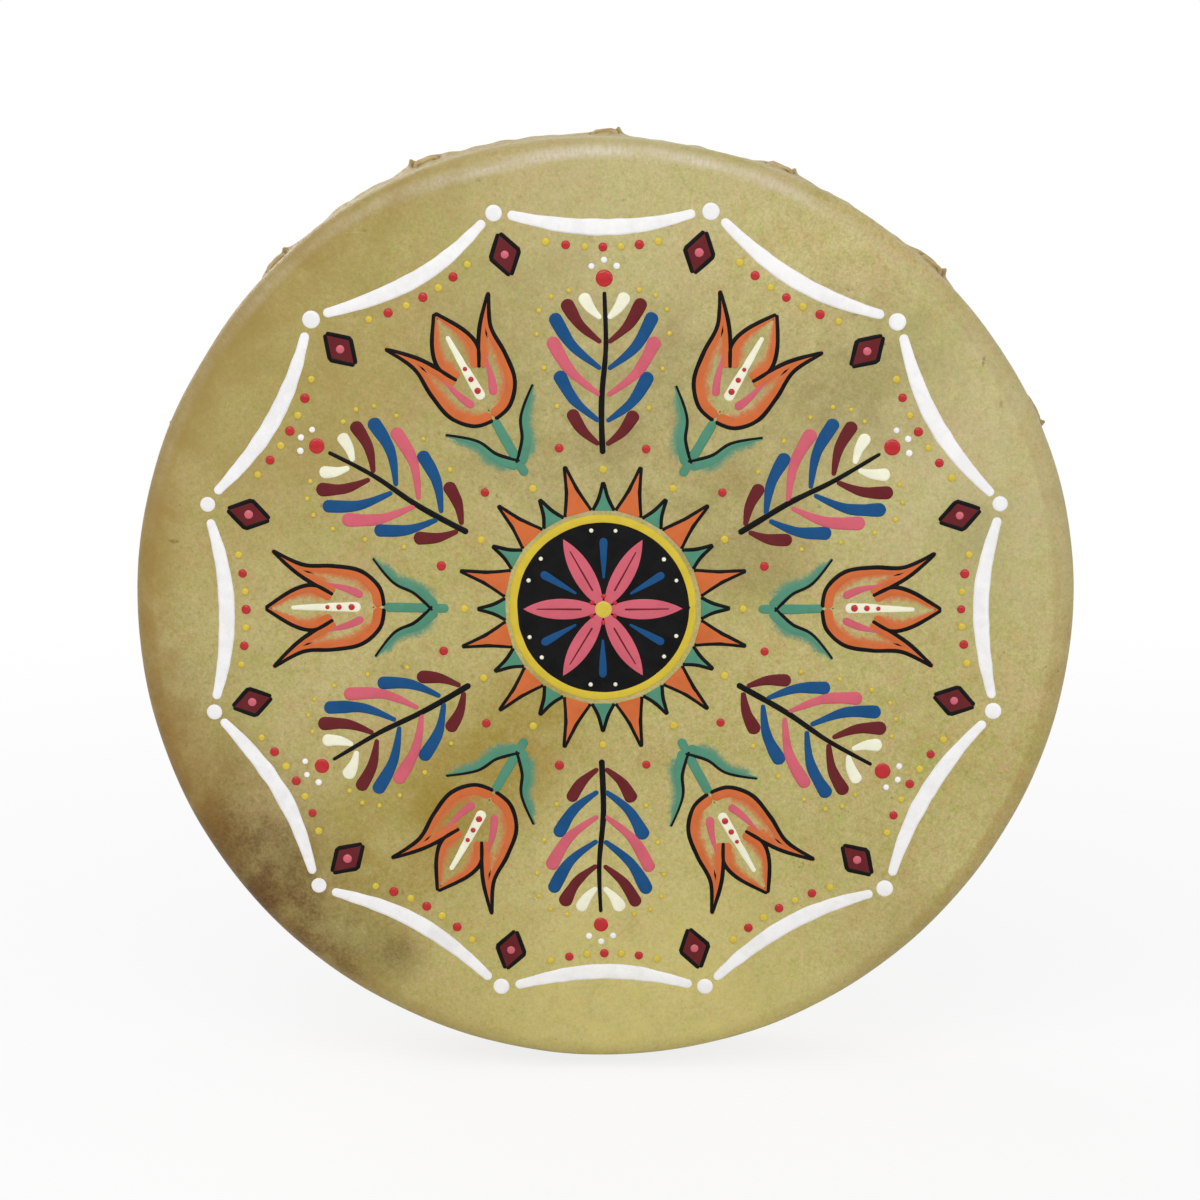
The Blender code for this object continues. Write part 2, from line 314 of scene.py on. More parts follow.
def revolved(profile, columns, run_radius, shaped):
    """The vertices and UVs of a profile turned round the drum's axis, each point of it shaped by an angle.

    The UVs are in metres, round the drum at a radius and along the profile.
    """
    vertices, uvs = [], []
    travelled, last = 0.0, profile[0]
    for point in profile:
        travelled += math.dist(point[:2], last[:2])
        last = point
        for column in range(columns):
            angle = TURN * column / columns
            radius, y = shaped(angle, *point)
            x, z = polar(radius, angle)
            vertices.append((x, y, z))
            uvs.append((angle * run_radius, travelled))
    return vertices, uvs


def front_corner(radius, y, corner_radius, steps):
    """(radius, y) from the front round to the outside, about a corner's centre at a radius and y."""
    turns = [math.pi / 2 * step / steps for step in range(steps + 1)]
    return [(radius + corner_radius * math.sin(t), y - corner_radius * math.cos(t)) for t in turns]


def headings(points):
    """The direction of an open line of vectors at each of its points."""
    padded = [points[0], *points, points[-1]]
    return [(after - before).normalized() for before, after in zip(padded, padded[2:])]


def length_of(line):
    return sum((second - first).length for first, second in zip(line, line[1:]))


def points_along(line, stops):
    """The points at the given distances along a line."""
    points, index, passed = [], 0, 0.0
    span = (line[1] - line[0]).length
    for stop in stops:
        while index < len(line) - 2 and passed + span < stop:
            passed += span
            index += 1
            span = (line[index + 1] - line[index]).length
        points.append(line[index].lerp(line[index + 1], min(1.0, (stop - passed) / span)))
    return points


def wave(angle, terms):
    """A slow hand-made waviness: a sum of (cycles, height, phase)."""
    return sum(height * math.sin(cycles * angle + phase) for cycles, height, phase in terms)


def hill(distance, half_width):
    """1 at a place, falling smoothly to 0 on both sides of it."""
    return math.exp(-((distance / half_width) ** 2))


def share_between(value, low, high):
    """0 up to the low value, rising evenly to 1 at the high value and past it."""
    return min(1.0, max(0.0, (value - low) / (high - low)))


# Rawhide head

HEAD_COLUMNS = 1536
NUB_HEIGHT = 2.3 * MM
NUB_HALF_WIDTH = 1.3 * MM
NUB_OFFSET = 6.2 * MM
FOLD_HEIGHT = 0.9 * MM
FOLD_LENGTH = 7 * MM
PULL_HEIGHT = 0.7 * MM
PULL_HALF_WIDTH = 8 * MM
PULL_START_Y = FACE_Y + 16 * MM
HOLE_DEPTH = 1.1 * MM
HOLE_HALF_WIDTH = 1.6 * MM
DENT_HEIGHT = 0.35 * MM
DENT_LENGTH = 30 * MM
HIDE_SLACK = 0.25 * MM
RAW_EDGE_ROUNDING = 0.3 * MM
BEFORE_RAW_EDGE = 0.4 * MM
WALL_WAVES = ((3, 0.25 * MM, 0.4), (5, 0.18 * MM, 2.0), (9, 0.10 * MM, 4.1))
EDGE_WAVES = ((7, 0.30 * MM, 1.0), (23, 0.22 * MM, 0.3), (51, 0.16 * MM, 2.2), (97, 0.10 * MM, 5.0))
# How the hoop departs from a true circle, as (angle in degrees, half width in degrees, height)
OUT_OF_ROUND = ((12, 24, 1.1 * MM), (76, 26, -2.0 * MM), (118, 12, 1.0 * MM), (147, 8, -0.9 * MM))
UPRIGHT_LIP_ANGLE, UPRIGHT_LIP_HALF_WIDTH, UPRIGHT_LIP_SHARE = 76, 30, 0.9


def lip_share(y):
    return share_between(y, LIP_START_Y, LIP_EDGE_Y)


def bell(angle, centre, half_width):
    """1 at a place on the rim, falling to 0 on both sides; the place and its half width are in degrees."""
    return hill((math.degrees(angle) - centre + 180) % 360 - 180, half_width)


def out_of_round(angle):
    return sum(height * bell(angle, centre, width) for centre, width, height in OUT_OF_ROUND)


def nearest_point(angle):
    """The nearest lacing point's number, and how far past it the angle is, in metres of rim."""
    number = round(angle / LACE_PITCH_ANGLE)
    return number % LACE_POINTS, (angle - number * LACE_PITCH_ANGLE) * DRUM_RADIUS


def head_bulge(angle, y, holes=True):
    """How far the hide stands out from its wall: slow waves, curled lip, puckers and lacing holes."""
    number, offset = nearest_point(angle)
    vary = random.Random(SEED + number)
    tall, wide = vary.uniform(0.7, 1.25), vary.uniform(0.8, 1.1)
    nub_offset = offset - vary.choice((-1, 1)) * NUB_OFFSET
    share = lip_share(y)
    fold = 0.0
    if abs(offset) < PUCKER_HALF_WIDTH * wide:
        fold = 0.5 + 0.5 * math.cos(math.pi * offset / (PUCKER_HALF_WIDTH * wide))
    upright = UPRIGHT_LIP_SHARE * bell(angle, UPRIGHT_LIP_ANGLE, UPRIGHT_LIP_HALF_WIDTH)
    bulge = share**2 * (LIP_FLARE * (1 - upright) + PUCKER_HEIGHT * tall * fold)
    bulge += share**5 * NUB_HEIGHT * tall * hill(nub_offset, NUB_HALF_WIDTH)
    pulled = share_between(y, PULL_START_Y, LIP_EDGE_Y)
    bulge += pulled**1.5 * PULL_HEIGHT * tall * hill(offset, PULL_HALF_WIDTH)
    if holes:
        away = math.hypot(abs(offset) - HOLE_SPACING / 2, y - LACE_Y)
        bulge -= HOLE_DEPTH * hill(away, HOLE_HALF_WIDTH)
    spot = Vector((*polar(1.0, angle), 0.0)) * DRUM_RADIUS
    folds = noise.noise(Vector((spot.x, spot.y, y / 3)) / FOLD_LENGTH)
    dents = noise.noise(Vector((spot.x, spot.y, y)) / DENT_LENGTH)
    bulge += share**1.3 * FOLD_HEIGHT * folds
    off_face = share_between(y, FACE_Y, FACE_Y + SHOULDER_RADIUS)
    return bulge + off_face * (wave(angle, WALL_WAVES) + DENT_HEIGHT * dents + HIDE_SLACK)


def head_outline(inset, shoulder_steps, wall_steps, lip_steps):
    """(radius, y) from the edge of the flat face round the shoulder to just before the raw edge."""
    corner_y, corner_radius = FACE_Y + SHOULDER_RADIUS, SHOULDER_RADIUS - inset
    outline = front_corner(DRUM_RADIUS - SHOULDER_RADIUS, corner_y, corner_radius, shoulder_steps)
    wall, lip = LIP_START_Y - corner_y, LIP_LENGTH - BEFORE_RAW_EDGE
    for start, length, steps in ((corner_y, wall, wall_steps), (LIP_START_Y, lip, lip_steps)):
        outline += [(DRUM_RADIUS - inset, start + length * k / steps) for k in range(1, steps + 1)]
    return outline


def shaped_skin(angle, radius, y):
    """A point of the skin's profile where it lies at an angle of the drum."""
    radius += head_bulge(angle, y) + out_of_round(angle)
    return radius, y + lip_share(y) ** 6 * wave(angle, EDGE_WAVES)


def make_head(material):
    """The skin as one closed mesh, with a rounded raw edge that waves a little."""
    edge = [
        (DRUM_RADIUS - RAW_EDGE_ROUNDING, LIP_EDGE_Y),
        (DRUM_RADIUS - HIDE_THICKNESS + RAW_EDGE_ROUNDING, LIP_EDGE_Y),
    ]
    inner = head_outline(HIDE_THICKNESS, 5, 3, 8)
    profile = head_outline(0.0, 14, 8, 24) + edge + inner[::-1]
    vertices, uvs = revolved(profile, HEAD_COLUMNS, DRUM_RADIUS, shaped_skin)
    faces = capped_faces(len(profile), HEAD_COLUMNS)
    piece_from("head_skin", vertices, faces, material, "rawhide_head", uvs)


# How far out the pale band and its painted highlight move, as (x, next x, its shift at the first, its shift
# at the second)
BAND_SHIFTS = ((-0.12, -0.03, 5.4 * MM, 0.0), (-0.07, 0.0, 0.4 * MM, 2.6 * MM))
BAND_START, BAND_MIDDLE, BAND_END = 0.1855, 0.1900, 0.1945
WALL_TONE_Y, LOW_WALL_Y = FACE_Y + 6 * MM, FACE_Y + 14 * MM
MIDDLE_SKIN_Y, BEHIND_SKIN_Y = FACE_Y + 0.5 * HIDE_THICKNESS, FACE_Y + 1.1 * HIDE_THICKNESS

# Tints that run into each other all over the hide, as (noise scale, noise field, strength, colour)
HIDE_TINTS = (
    (26.0, 1.7, 0.38, HIDE_MOSS),
    (26.0, 3.1, 0.30, HIDE_ROSE),
    (95.0, 5.3, 0.34, HIDE_MOSS),
    (95.0, 7.9, 0.38, HIDE_RUST),
    (520.0, 9.1, 0.44, HIDE_ROSE),
    (520.0, 11.7, 0.52, HIDE_MOSS),
)

# Stains and painted glare as (x, z, inner distance, outer distance, strength, colour), in metres on the
# face
STAINS_AND_PAINTED_GLARE = (
    # Painted glare: the first two rows are pale patches at the top and at the right that stand in for light
    (0.00, 0.185, 0.020, 0.110, 0.34, HIDE_PAINTED_GLARE),
    (0.17, 0.060, 0.010, 0.120, 0.42, HIDE_PAINTED_GLARE),
    (0.02, -0.19, 0.010, 0.130, 0.80, HIDE_STRAW),
    (-0.13, 0.13, 0.020, 0.150, 0.60, HIDE_DEEP),
    (-0.18, 0.07, 0.005, 0.090, 0.30, HIDE_DEEP),
    (0.13, -0.15, 0.005, 0.045, 0.48, HIDE_DEEP),
    (-0.160, -0.104, 0.010, 0.054, 0.80, HIDE_SMOKE),
    (-0.139, -0.146, 0.012, 0.066, 0.84, HIDE_SMOKE),
    (-0.182, -0.075, 0.005, 0.050, 0.50, HIDE_AMBER),
    (-0.192, -0.045, 0.005, 0.060, 0.22, HIDE_SMOKE),
    (-0.089, -0.152, 0.002, 0.018, 0.50, HIDE_SMOKE),
    (-0.033, -0.055, 0.008, 0.040, 0.88, HIDE_OCHRE),
    (-0.058, -0.080, 0.010, 0.045, 0.72, HIDE_OCHRE),
    (-0.090, -0.105, 0.010, 0.055, 0.62, HIDE_OCHRE),
    (-0.015, 0.088, 0.030, 0.080, 0.44, HIDE_DUSK),
    (0.050, 0.080, 0.020, 0.080, 0.40, HIDE_DUSK),
    (0.108, 0.100, 0.008, 0.056, 0.58, HIDE_DUSK),
    (0.058, 0.026, 0.008, 0.044, 0.58, HIDE_DUSK),
    (0.155, 0.035, 0.004, 0.025, 0.22, HIDE_SMOKE),
)


def rawhide_material(wash=None):
    """Dried skin: mottled tan, stains, painted glare, a painted highlight at the rim, flecks, fine grain
    and pale scratches, under a wash where named.
    """
    tree = new_tree(f"rawhide_{wash}_wash" if wash else "rawhide")
    place = tree.coordinates()
    broad = tree.noise(place, 9.0, 4.0, 0.55, 0.4)
    blotch = tree.noise(place, 38.0, 5.0, 0.62, 0.6)
    fine = tree.noise(place, 420.0, 4.0, 0.7)
    color = tree.mix(tree.ramp(broad, 0.35, 0.68), HIDE_COLOR, HIDE_PALE)
    color = tree.tint(color, HIDE_DEEP, tree.ramp(blotch, 0.46, 0.74), 0.32)
    for scale, field, strength, tint_color in HIDE_TINTS:
        cloud = tree.noise(place, scale, 3.0, 0.65, 0.3, field)
        color = tree.tint(color, tint_color, tree.ramp(cloud, 0.47, 0.70), strength)
    color = tree.tint(color, HIDE_DEEP, tree.ramp(fine, 0.5, 0.68), 0.42)
    color = tree.tint(color, HIDE_PALE, tree.ramp(fine, 0.32, 0.48, 1.0, 0.0), 0.42)
    grit = tree.ramp(tree.noise(place, 1050.0, 3.0, 0.7, 0.0, 31.9), 0.38, 0.62, 0.88, 1.08)
    color = tree.mix(1.0, color, grit, "MULTIPLY")
    color = add_rim_tones(tree, place, color, blotch)
    color = add_stains_and_painted_glare(tree, place, color, blotch)
    color = add_flecks(tree, place, color)
    scratches = tree.ramp(tree.noise(place, (60.0, 60.0, 900.0), 3.0, 0.6, 1.2), 0.62, 0.72)
    scratched = tree.ramp(tree.noise(place, 14.0), 0.5, 0.62)
    color = tree.tint(color, HIDE_PALE, scratches, scratched, 0.35)
    if wash:
        color = add_wash(tree, place, color, PAINTS[wash])
    hollows = tree.noise(place, 22.0, 3.0, 0.5)
    pebble = tree.add("TexVoronoi", Vector=place, Scale=520.0).outputs["Distance"]
    grain = tree.noise(place, 900.0, 5.0, 0.65)
    bumps = (hollows, 0.0006), (pebble, 0.00009), (grain, 0.00014)
    roughness = tree.ramp(fine, 0.3, 0.75, 0.36, 0.58)
    return tree.finish(color, roughness, *bumps, IOR=1.5, Specular_IOR_Level=0.38)


def add_wash(tree, place, color, paint):
    """Thin paint, full along a stroke's middle and gone at its sides, caught on the grain."""
    middle = tree.axes(tree.coordinates("UV"))[0]
    grain = tree.ramp(tree.noise(place, 650.0, 4.0, 0.7, 0.0, 23.3), 0.3, 0.7, -0.22, 0.22)
    return tree.tint(color, paint, tree.ramp(tree.math("ADD", middle, grain), 0.12, 0.85), 0.92)


def add_stains_and_painted_glare(tree, place, color, blotch):
    """Smoke and ochre stains settled in the pores, and painted glare, all broken up by the mottling and the
    pores.
    """
    pores = tree.ramp(tree.noise(place, 800.0, 4.0, 0.8, 0.0, 19.7), 0.38, 0.64, 0.7, 1.15)
    clouds = tree.ramp(tree.noise(place, 85.0, 4.0, 0.65, 0.3, 29.1), 0.34, 0.62, 0.72, 1.12)
    broken = tree.times(tree.ramp(blotch, 0.3, 0.62, 0.5, 1.0), pores, clouds)
    for x, z, inner, outer, strength, tint_color in STAINS_AND_PAINTED_GLARE:
        mask = tree.near(place, (x, FACE_Y, z), inner, outer)
        color = tree.tint(color, tint_color, mask, broken, strength)
    return color


def add_flecks(tree, place, color):
    """Small brown specks of many sizes, thicker in some places than in others."""
    specks = tree.ramp(tree.noise(place, 260.0, 2.0, 0.5, 0.2, 17.1), 0.66, 0.74)
    patches = tree.ramp(tree.noise(place, 24.0, 3.0), 0.46, 0.66)
    return tree.tint(color, HIDE_FLECK, specks, patches, 0.5)


def add_rim_tones(tree, place, color, blotch):
    """The skin is browner at the left, over the shoulder and down the wall, with painted light keeping the
    rim's foot less brown, and paler on its inside.
    """
    across, depth, height = tree.axes(place)
    radius = tree.hypot(across, height)
    turned = tree.times(tree.math("ARCTAN2", height, across), DRUM_RADIUS)
    down_wall = tree.math("SUBTRACT", depth, radius)
    unrolled = tree.add("CombineXYZ", X=turned, Y=down_wall).outputs["Vector"]
    pulls = tree.ramp(tree.noise(unrolled, (130.0, 34.0, 1.0), 5.0, 0.65), 0.32, 0.66, 0.6, 1.0)
    left = tree.ramp(across, -0.19, 0.03, 1.0, 0.0)
    color = tree.tint(color, HIDE_DEEP, left, 0.26)
    # Painted light: each brown on the rim is cut to between a third and a half at the foot, so the foot
    # looks lit; worn is only the share near the rim, browner at the left
    worn, patchy = tree.ramp(radius, 0.176, 0.195), tree.ramp(blotch, 0.32, 0.62, 0.35, 1.0)
    painted_light_at_foot = tree.ramp(height, -0.20, -0.15, 0.35, 1.0)
    color = tree.tint(color, HIDE_AMBER, worn, left, patchy, painted_light_at_foot, 0.75)
    edge, below_top = tree.ramp(radius, 0.1905, 0.1932), tree.ramp(height, 0.08, 0.16, 0.42, 0.26)
    # Painted light at the foot again, for the shoulder's edge and for the wall
    painted_light_at_foot = tree.ramp(height, -0.19, -0.12, 0.35, 1.0)
    color = tree.tint(color, HIDE_AMBER, edge, pulls, below_top, painted_light_at_foot)
    wall, below_top = tree.ramp(depth, WALL_TONE_Y, LOW_WALL_Y), tree.ramp(height, 0.10, 0.18, 0.56, 0.10)
    painted_light_at_foot = tree.ramp(height, -0.20, -0.14, 0.45, 1.0)
    color = tree.tint(color, HIDE_AMBER, wall, pulls, below_top, painted_light_at_foot)
    color = add_pale_band_and_highlight(tree, color, across, height, radius, unrolled)
    color = add_hole_stains(tree, color, turned, depth)
    behind = tree.ramp(depth, MIDDLE_SKIN_Y, BEHIND_SKIN_Y)
    in_hoop = tree.ramp(radius, HOOP_INNER_RADIUS, HOOP_INNER_RADIUS + MM, 1.0, 0.0)
    return tree.tint(color, HIDE_INSIDE, behind, in_hoop, 0.45)


def add_pale_band_and_highlight(tree, color, across, height, radius, unrolled):
    """Pale streaks where the hoop's edge pulls the skin, partly a painted highlight kept to the upper half,
    furthest out at the left.
    """
    hairs = tree.ramp(tree.noise(unrolled, (750.0, 330.0, 1.0), 4.0, 0.7), 0.34, 0.60, 0.4, 1.0)
    drift = tree.noise(unrolled, (36.0, 200.0, 1.0), 3.0, 0.6, 0.0, 13.3)
    drift = tree.ramp(drift, 0.34, 0.60, 0.35, 1.0)
    for shift in BAND_SHIFTS:
        radius = tree.math("SUBTRACT", radius, tree.ramp(across, *shift))
    rising = tree.ramp(radius, BAND_START, BAND_MIDDLE)
    falling = tree.ramp(radius, BAND_MIDDLE, BAND_END, 1.0, 0.0)
    # Painted highlight: the band is kept to the upper half, where the light falls
    upper = tree.ramp(height, 0.0, 0.14)
    faint_left = tree.ramp(across, -0.09, -0.04, 0.42, 1.0)
    faint_right = tree.ramp(across, 0.03, 0.12, 1.0, 0.12)
    return tree.tint(color, HIDE_PALE_AND_HIGHLIGHT, rising, falling, hairs, drift, upper, faint_left, faint_right)


def add_hole_stains(tree, color, turned, depth):
    """Dirt round each lacing hole."""
    from_point = tree.math("PINGPONG", turned, LACE_PITCH_ANGLE * DRUM_RADIUS / 2)
    beside_hole = tree.math("SUBTRACT", from_point, HOLE_SPACING / 2)
    from_hole = tree.hypot(beside_hole, tree.math("SUBTRACT", depth, LACE_Y))
    return tree.mix(tree.ramp(from_hole, 0.9 * MM, 3.4 * MM, 0.75, 0.0), color, HIDE_FLECK)


# Painted pattern: a generic wheel of rays, six tulips, six ferns and twelve garlands, in raised strokes


def whole_section(half):
    """A section across a stroke, as (share of the half width, share of the height), from its left half."""
    return (*half, (0.0, 1.0), *[(-across, rise) for across, rise in reversed(half)])


STROKE_SECTION = whole_section(((-1.0, -1.0), (-1.0, 0.12), (-0.72, 0.82)))
WASH_SECTION = whole_section(((-1.0, -1.0), (-0.7, 0.6), (-0.35, 1.0)))
WASH_SHARP_ANGLE = math.radians(90)
DOT_SIDES = 20
DOT_RINGS = ((1.0, -1.0), (1.0, 0.1), (0.9, 0.5), (0.65, 0.85), (0.3, 1.0))
PATCH_RINGS = ((0.0, -1.0), (0.0, 0.15), (0.35 * MM, 0.8), (0.9 * MM, 1.0))
PATCH_LEAST_SHARE = 0.05
STROKE_STEP = 1.5 * MM
STROKE_SHAKE, STROKE_SHAKE_LENGTH = 0.10, 6 * MM
CAP_STEPS = 4
CAP_LEAST_WIDTH, CAP_MOST_LENGTH = 0.02, 0.45
WASH_FADE = 5
HAND_DRIFT, HAND_DRIFT_LENGTH = 1.1 * MM, 45 * MM
PAINT_SINK = 0.06 * MM
COLOR_RISE = 0.01 * MM
LAYER_HEIGHTS = {
    "wash": 0.01 * MM,
    "base": 0.16 * MM,
    "line": 0.26 * MM,
    "top": 0.38 * MM,
    "dots": 0.70 * MM,
}


class PaintBox:
    """Brush strokes, dots and patches, gathered into one mesh for each layer and colour.

    A motif is drawn in millimetres, outwards along +U with V across it, and turned to its angle in degrees.
    """

    def __init__(self):
        self.chance = random.Random(SEED)
        self.coats = {}

    def mound(self, color, layer, rings):
        """A closed mound over rings of (place, share of the height or -1 for sunk, share of paint)."""
        vertices, faces, uvs = self.coats.setdefault((layer, color), ([], [], []))
        height = LAYER_HEIGHTS[layer] + list(PAINTS).index(color) * COLOR_RISE
        faces += capped_faces(len(rings), len(rings[0]), len(vertices))
        for ring in rings:
            for place, rise, full in ring:
                out = height * rise if rise >= 0 else -PAINT_SINK
                vertices.append((place.x, FACE_Y - out, place.y))
                uvs.append((full, 0.0))

    def brush(self, color, line, angle, width, layer="base", head=1.0, tail=1.0, belly=0.1, both=False):
        """A stroke of a width in millimetres; head, tail and belly are shares of it along the stroke."""
        if both:
            self.brush(color, mirrored(line), angle, width, layer, head, tail, belly)
        half_width = width / 2 * MM
        places = on_face(line, angle)
        stops = stroke_stops(length_of(places), half_width * head, half_width * tail)
        points = points_along(places, stops)
        shake = self.chance.uniform(0, 50)
        section = WASH_SECTION if layer == "wash" else STROKE_SECTION
        rings = []
        for point, stop, direction in zip(points, stops, headings(points)):
            share = stop / stops[-1]
            body = half_width * (head + (tail - head) * share)
            body *= 1 + belly * math.sin(math.pi * share)
            body *= 1 + STROKE_SHAKE * noise.noise((shake, stop / STROKE_SHAKE_LENGTH, 0.0))
            body *= end_cap(stop, half_width * head)
            body *= end_cap(stops[-1] - stop, half_width * tail)
            side = Vector((-direction.y, direction.x))
            full = min(1.0, WASH_FADE * share, WASH_FADE * (1 - share))
            rings.append([(point + side * (a * body), rise, (1 - abs(a)) * full) for a, rise in section])
        self.mound(color, layer, rings)

    def dots(self, color, angle, radius, *places, dome=1.0):
        """Round raised dots, their radius in millimetres."""
        turns = [TURN * k / DOT_SIDES for k in range(DOT_SIDES)]
        for middle in on_face(places, angle):
            grown = radius * MM * (1 + self.chance.uniform(-0.08, 0.08))
            rings = []
            for share, rise in DOT_RINGS:
                around = [middle + grown * share * Vector(polar(1.0, turn)) for turn in turns]
                rings.append([(spot, rise * dome, 1.0) for spot in around])
            self.mound(color, "dots", rings)

    def patch(self, color, outline, angle, layer="base"):
        """A filled shape inside a closed outline, with a soft edge."""
        around = on_face(outline, angle)
        middle = sum(around, Vector((0.0, 0.0))) / len(around)
        rings = []
        for inset, rise in PATCH_RINGS:
            ring = []
            for place in around:
                away = place - middle
                share = max(PATCH_LEAST_SHARE, 1 - inset / max(away.length, inset, MM))
                ring.append((middle + away * share, rise, 1.0))
            rings.append(ring)
        self.mound(color, layer, rings)

    def make(self):
        """One piece for each layer and colour."""
        for (layer, color), (vertices, faces, uvs) in self.coats.items():
            name = f"paint_{layer}_{color}"
            if layer == "wash":
                coat = piece_from(name, vertices, faces, rawhide_material(color), uvs=uvs)
                coat.data.set_sharp_from_angle(angle=WASH_SHARP_ANGLE)
            else:
                piece_from(name, vertices, faces, paint_material(color, layer == "dots"))


def on_face(points, angle):
    """A motif's points at their place on the face, each drifting a little as a hand would."""
    cosine, sine = polar(1.0, math.radians(angle))
    places = []
    for u, v in points:
        place = Vector((u * cosine - v * sine, u * sine + v * cosine)) * MM
        drift = noise.noise_vector(Vector((place.x, place.y, 0.0)) / HAND_DRIFT_LENGTH)
        places.append(place + Vector((drift.x, drift.y)) * HAND_DRIFT)
    return places


def end_cap(distance, radius):
    """The width's share near a stroke's round end."""
    if radius <= 0 or distance >= radius:
        return 1.0
    return math.sqrt(max(0.0, 1 - (1 - distance / radius) ** 2)) + CAP_LEAST_WIDTH


def stroke_stops(length, head_radius, tail_radius):
    """How far along a stroke its sections lie: close together in its round ends, evenly between them."""
    most = CAP_MOST_LENGTH * length
    head, tail = min(head_radius, most), min(tail_radius, most)
    eased = [1 - math.cos(math.pi / 2 * k / CAP_STEPS) for k in range(CAP_STEPS)]
    between = length - head - tail
    count = max(2, round(between / STROKE_STEP))
    stops = [head * share for share in eased]
    stops += [head + between * k / count for k in range(count + 1)]
    return stops + [length - tail * share for share in reversed(eased)]


def smooth_line(*points, steps=10):
    """A Catmull-Rom curve through the points."""
    line = []
    for k in range(len(points) - 1):
        p0 = Vector(points[max(k - 1, 0)])
        p1, p2 = Vector(points[k]), Vector(points[k + 1])
        p3 = Vector(points[min(k + 2, len(points) - 1)])
        for step in range(steps):
            t = step / steps
            bend = (2 * p0 - 5 * p1 + 4 * p2 - p3) * t**2 + (3 * p1 - p0 - 3 * p2 + p3) * t**3
            line.append(tuple(p1 + ((p2 - p0) * t + bend) / 2))
    line.append(points[-1])
    return line


def mirrored(line):
    return [(u, -v) for u, v in line]


def beside(line, start, end):
    """The line moved sideways by a distance that changes from its start to its end, left being above 0."""
    moved = []
    for index, direction in enumerate(headings([Vector(point) for point in line])):
        u, v = line[index]
        distance = start + (end - start) * index / (len(line) - 1)
        moved.append((u - direction.y * distance, v + direction.x * distance))
    return moved


def arc(centre, radius, start, end, steps):
    """Points on an arc, its angles in degrees."""
    around = [polar(radius, math.radians(start + (end - start) * k / steps)) for k in range(steps + 1)]
    return [(centre[0] + across, centre[1] + up) for across, up in around]


def paint_pattern():
    box = PaintBox()
    paint_middle(box)
    paint_rays(box)
    for k in range(6):
        paint_tulip(box, 60 * k + box.chance.uniform(-0.5, 0.5))
        paint_fern(box, 60 * k + 30 + box.chance.uniform(-0.5, 0.5))
        box.dots("red", 60 * k + 15, 1.9, (71, 0))
        box.dots("red", 60 * k - 15, 1.9, (71, 0))
    for k in range(12):
        paint_garland(box, 30 * k + box.chance.uniform(-0.3, 0.3))
    box.make()


def paint_middle(box):
    """A dark disc with the six petals that a pair of compasses draws."""
    disc, petal = 38, 34
    box.patch("black", arc((0, 0), disc, 0, 354, 59), 0)
    box.brush("yellow", arc((0, 0), disc, 0, 361, 90), 0, 3.4, "line")
    edge = arc(polar(petal, TURN / 6), petal, 240, 300, 16)
    for angle in range(0, 360, 60):
        box.patch("pink", edge + mirrored(edge[-2:0:-1]), angle, "line")
        box.brush("maroon", [(9, 0), (20, 0), (28, 0)], angle, 2.2, "top", 0.5, 0.3)
        box.brush("blue", smooth_line((30, 0), (23, 0), (13, 0)), angle + 30, 4.6, "line", 1.0, 0.25)
        box.dots("cream", angle + 30, 0.9, (33.0, 5.2), (33.0, -5.2))
        box.dots("red", angle + 30, 1.0, (5.6, 0))
    box.dots("yellow", 0, 3.6, (0, 0), dome=0.9)


def paint_rays(box):
    """Twelve long rays with twelve short ones between them."""
    for angle in range(0, 360, 30):
        for color, foot, half_foot, tip, turn in (
            ("teal", 41.5, 4.6, 54, angle),
            ("orange", 41.5, 5.6, 63, angle + 15),
        ):
            side = smooth_line((foot, half_foot), ((foot + tip) / 2 - 1, half_foot * 0.42), (tip, 0))
            box.patch(color, side + mirrored(side[-2::-1]), turn)
            box.brush("black", side, turn, 1.7, "line", both=True)
        box.dots("yellow", angle, 1.7, (59.5, 0))


def paint_tulip(box, angle):
    """A tulip on its stem, with two leaves."""
    box.brush("teal", [(66, 0), (80, 0), (93, 0)], angle, 3.8)
    leaf = smooth_line((71, 1), (79, 8), (88, 12), (97, 22))
    box.brush("teal", beside(leaf, 1.6, 0.8), angle, 11.0, "wash", 0.9, 0.5, both=True)
    box.brush("teal", leaf, angle, 6.6, head=0.7, tail=0.1, both=True)
    box.brush("black", beside(leaf, -2.6, -0.5), angle, 1.6, "line", 1.0, 0.7, both=True)
    cup = smooth_line((93, 0.5), (95, 9), (103, 16), (115, 18), (128, 18.5), (141, 25))
    fold = smooth_line((141, 25), (131, 15.5), (123, 10), (115, 5.5))
    middle = smooth_line((115, 5.5), (123, 9.5), (132, 7.5), (144, 0))
    for line, width, head, tail in ((cup, 6.0, 0.8, 0.2), (fold, 4.8, 0.2, 0.8), (middle, 5.2, 0.8, 0.2)):
        inner = beside(line, -width / 2 * head, -width / 2 * tail)
        wash = beside(line, -0.95 * width * head, -0.95 * width * tail)
        box.brush("orange", wash, angle, 2.1 * width, "wash", head, tail, 0.3, both=True)
        box.brush("orange", inner, angle, width, head=head, tail=tail, belly=0.3, both=True)
        box.brush("black", line, angle, 1.9, "line", both=True)
    box.brush("pink", smooth_line((102, 5), (109, 8), (119, 10.5)), angle, 3.8, tail=0.3, both=True)
    box.brush("cream", smooth_line((103, 0), (115, 0), (133, 0)), angle, 5.0, head=0.9, tail=0.35)
    for out, radius in ((107, 1.5), (112.5, 1.2), (117.5, 0.95)):
        box.dots("red", angle, radius, (out, 0))


# A fern's pairs of leaves, as (foot along the stem, reach, colour)
FERN_LEAVES = (
    (70, 17, "maroon"),
    (80, 24, "blue"),
    (91, 28, "pink"),
    (102, 27, "blue"),
    (113, 21, "maroon"),
    (123, 12, "cream"),
)


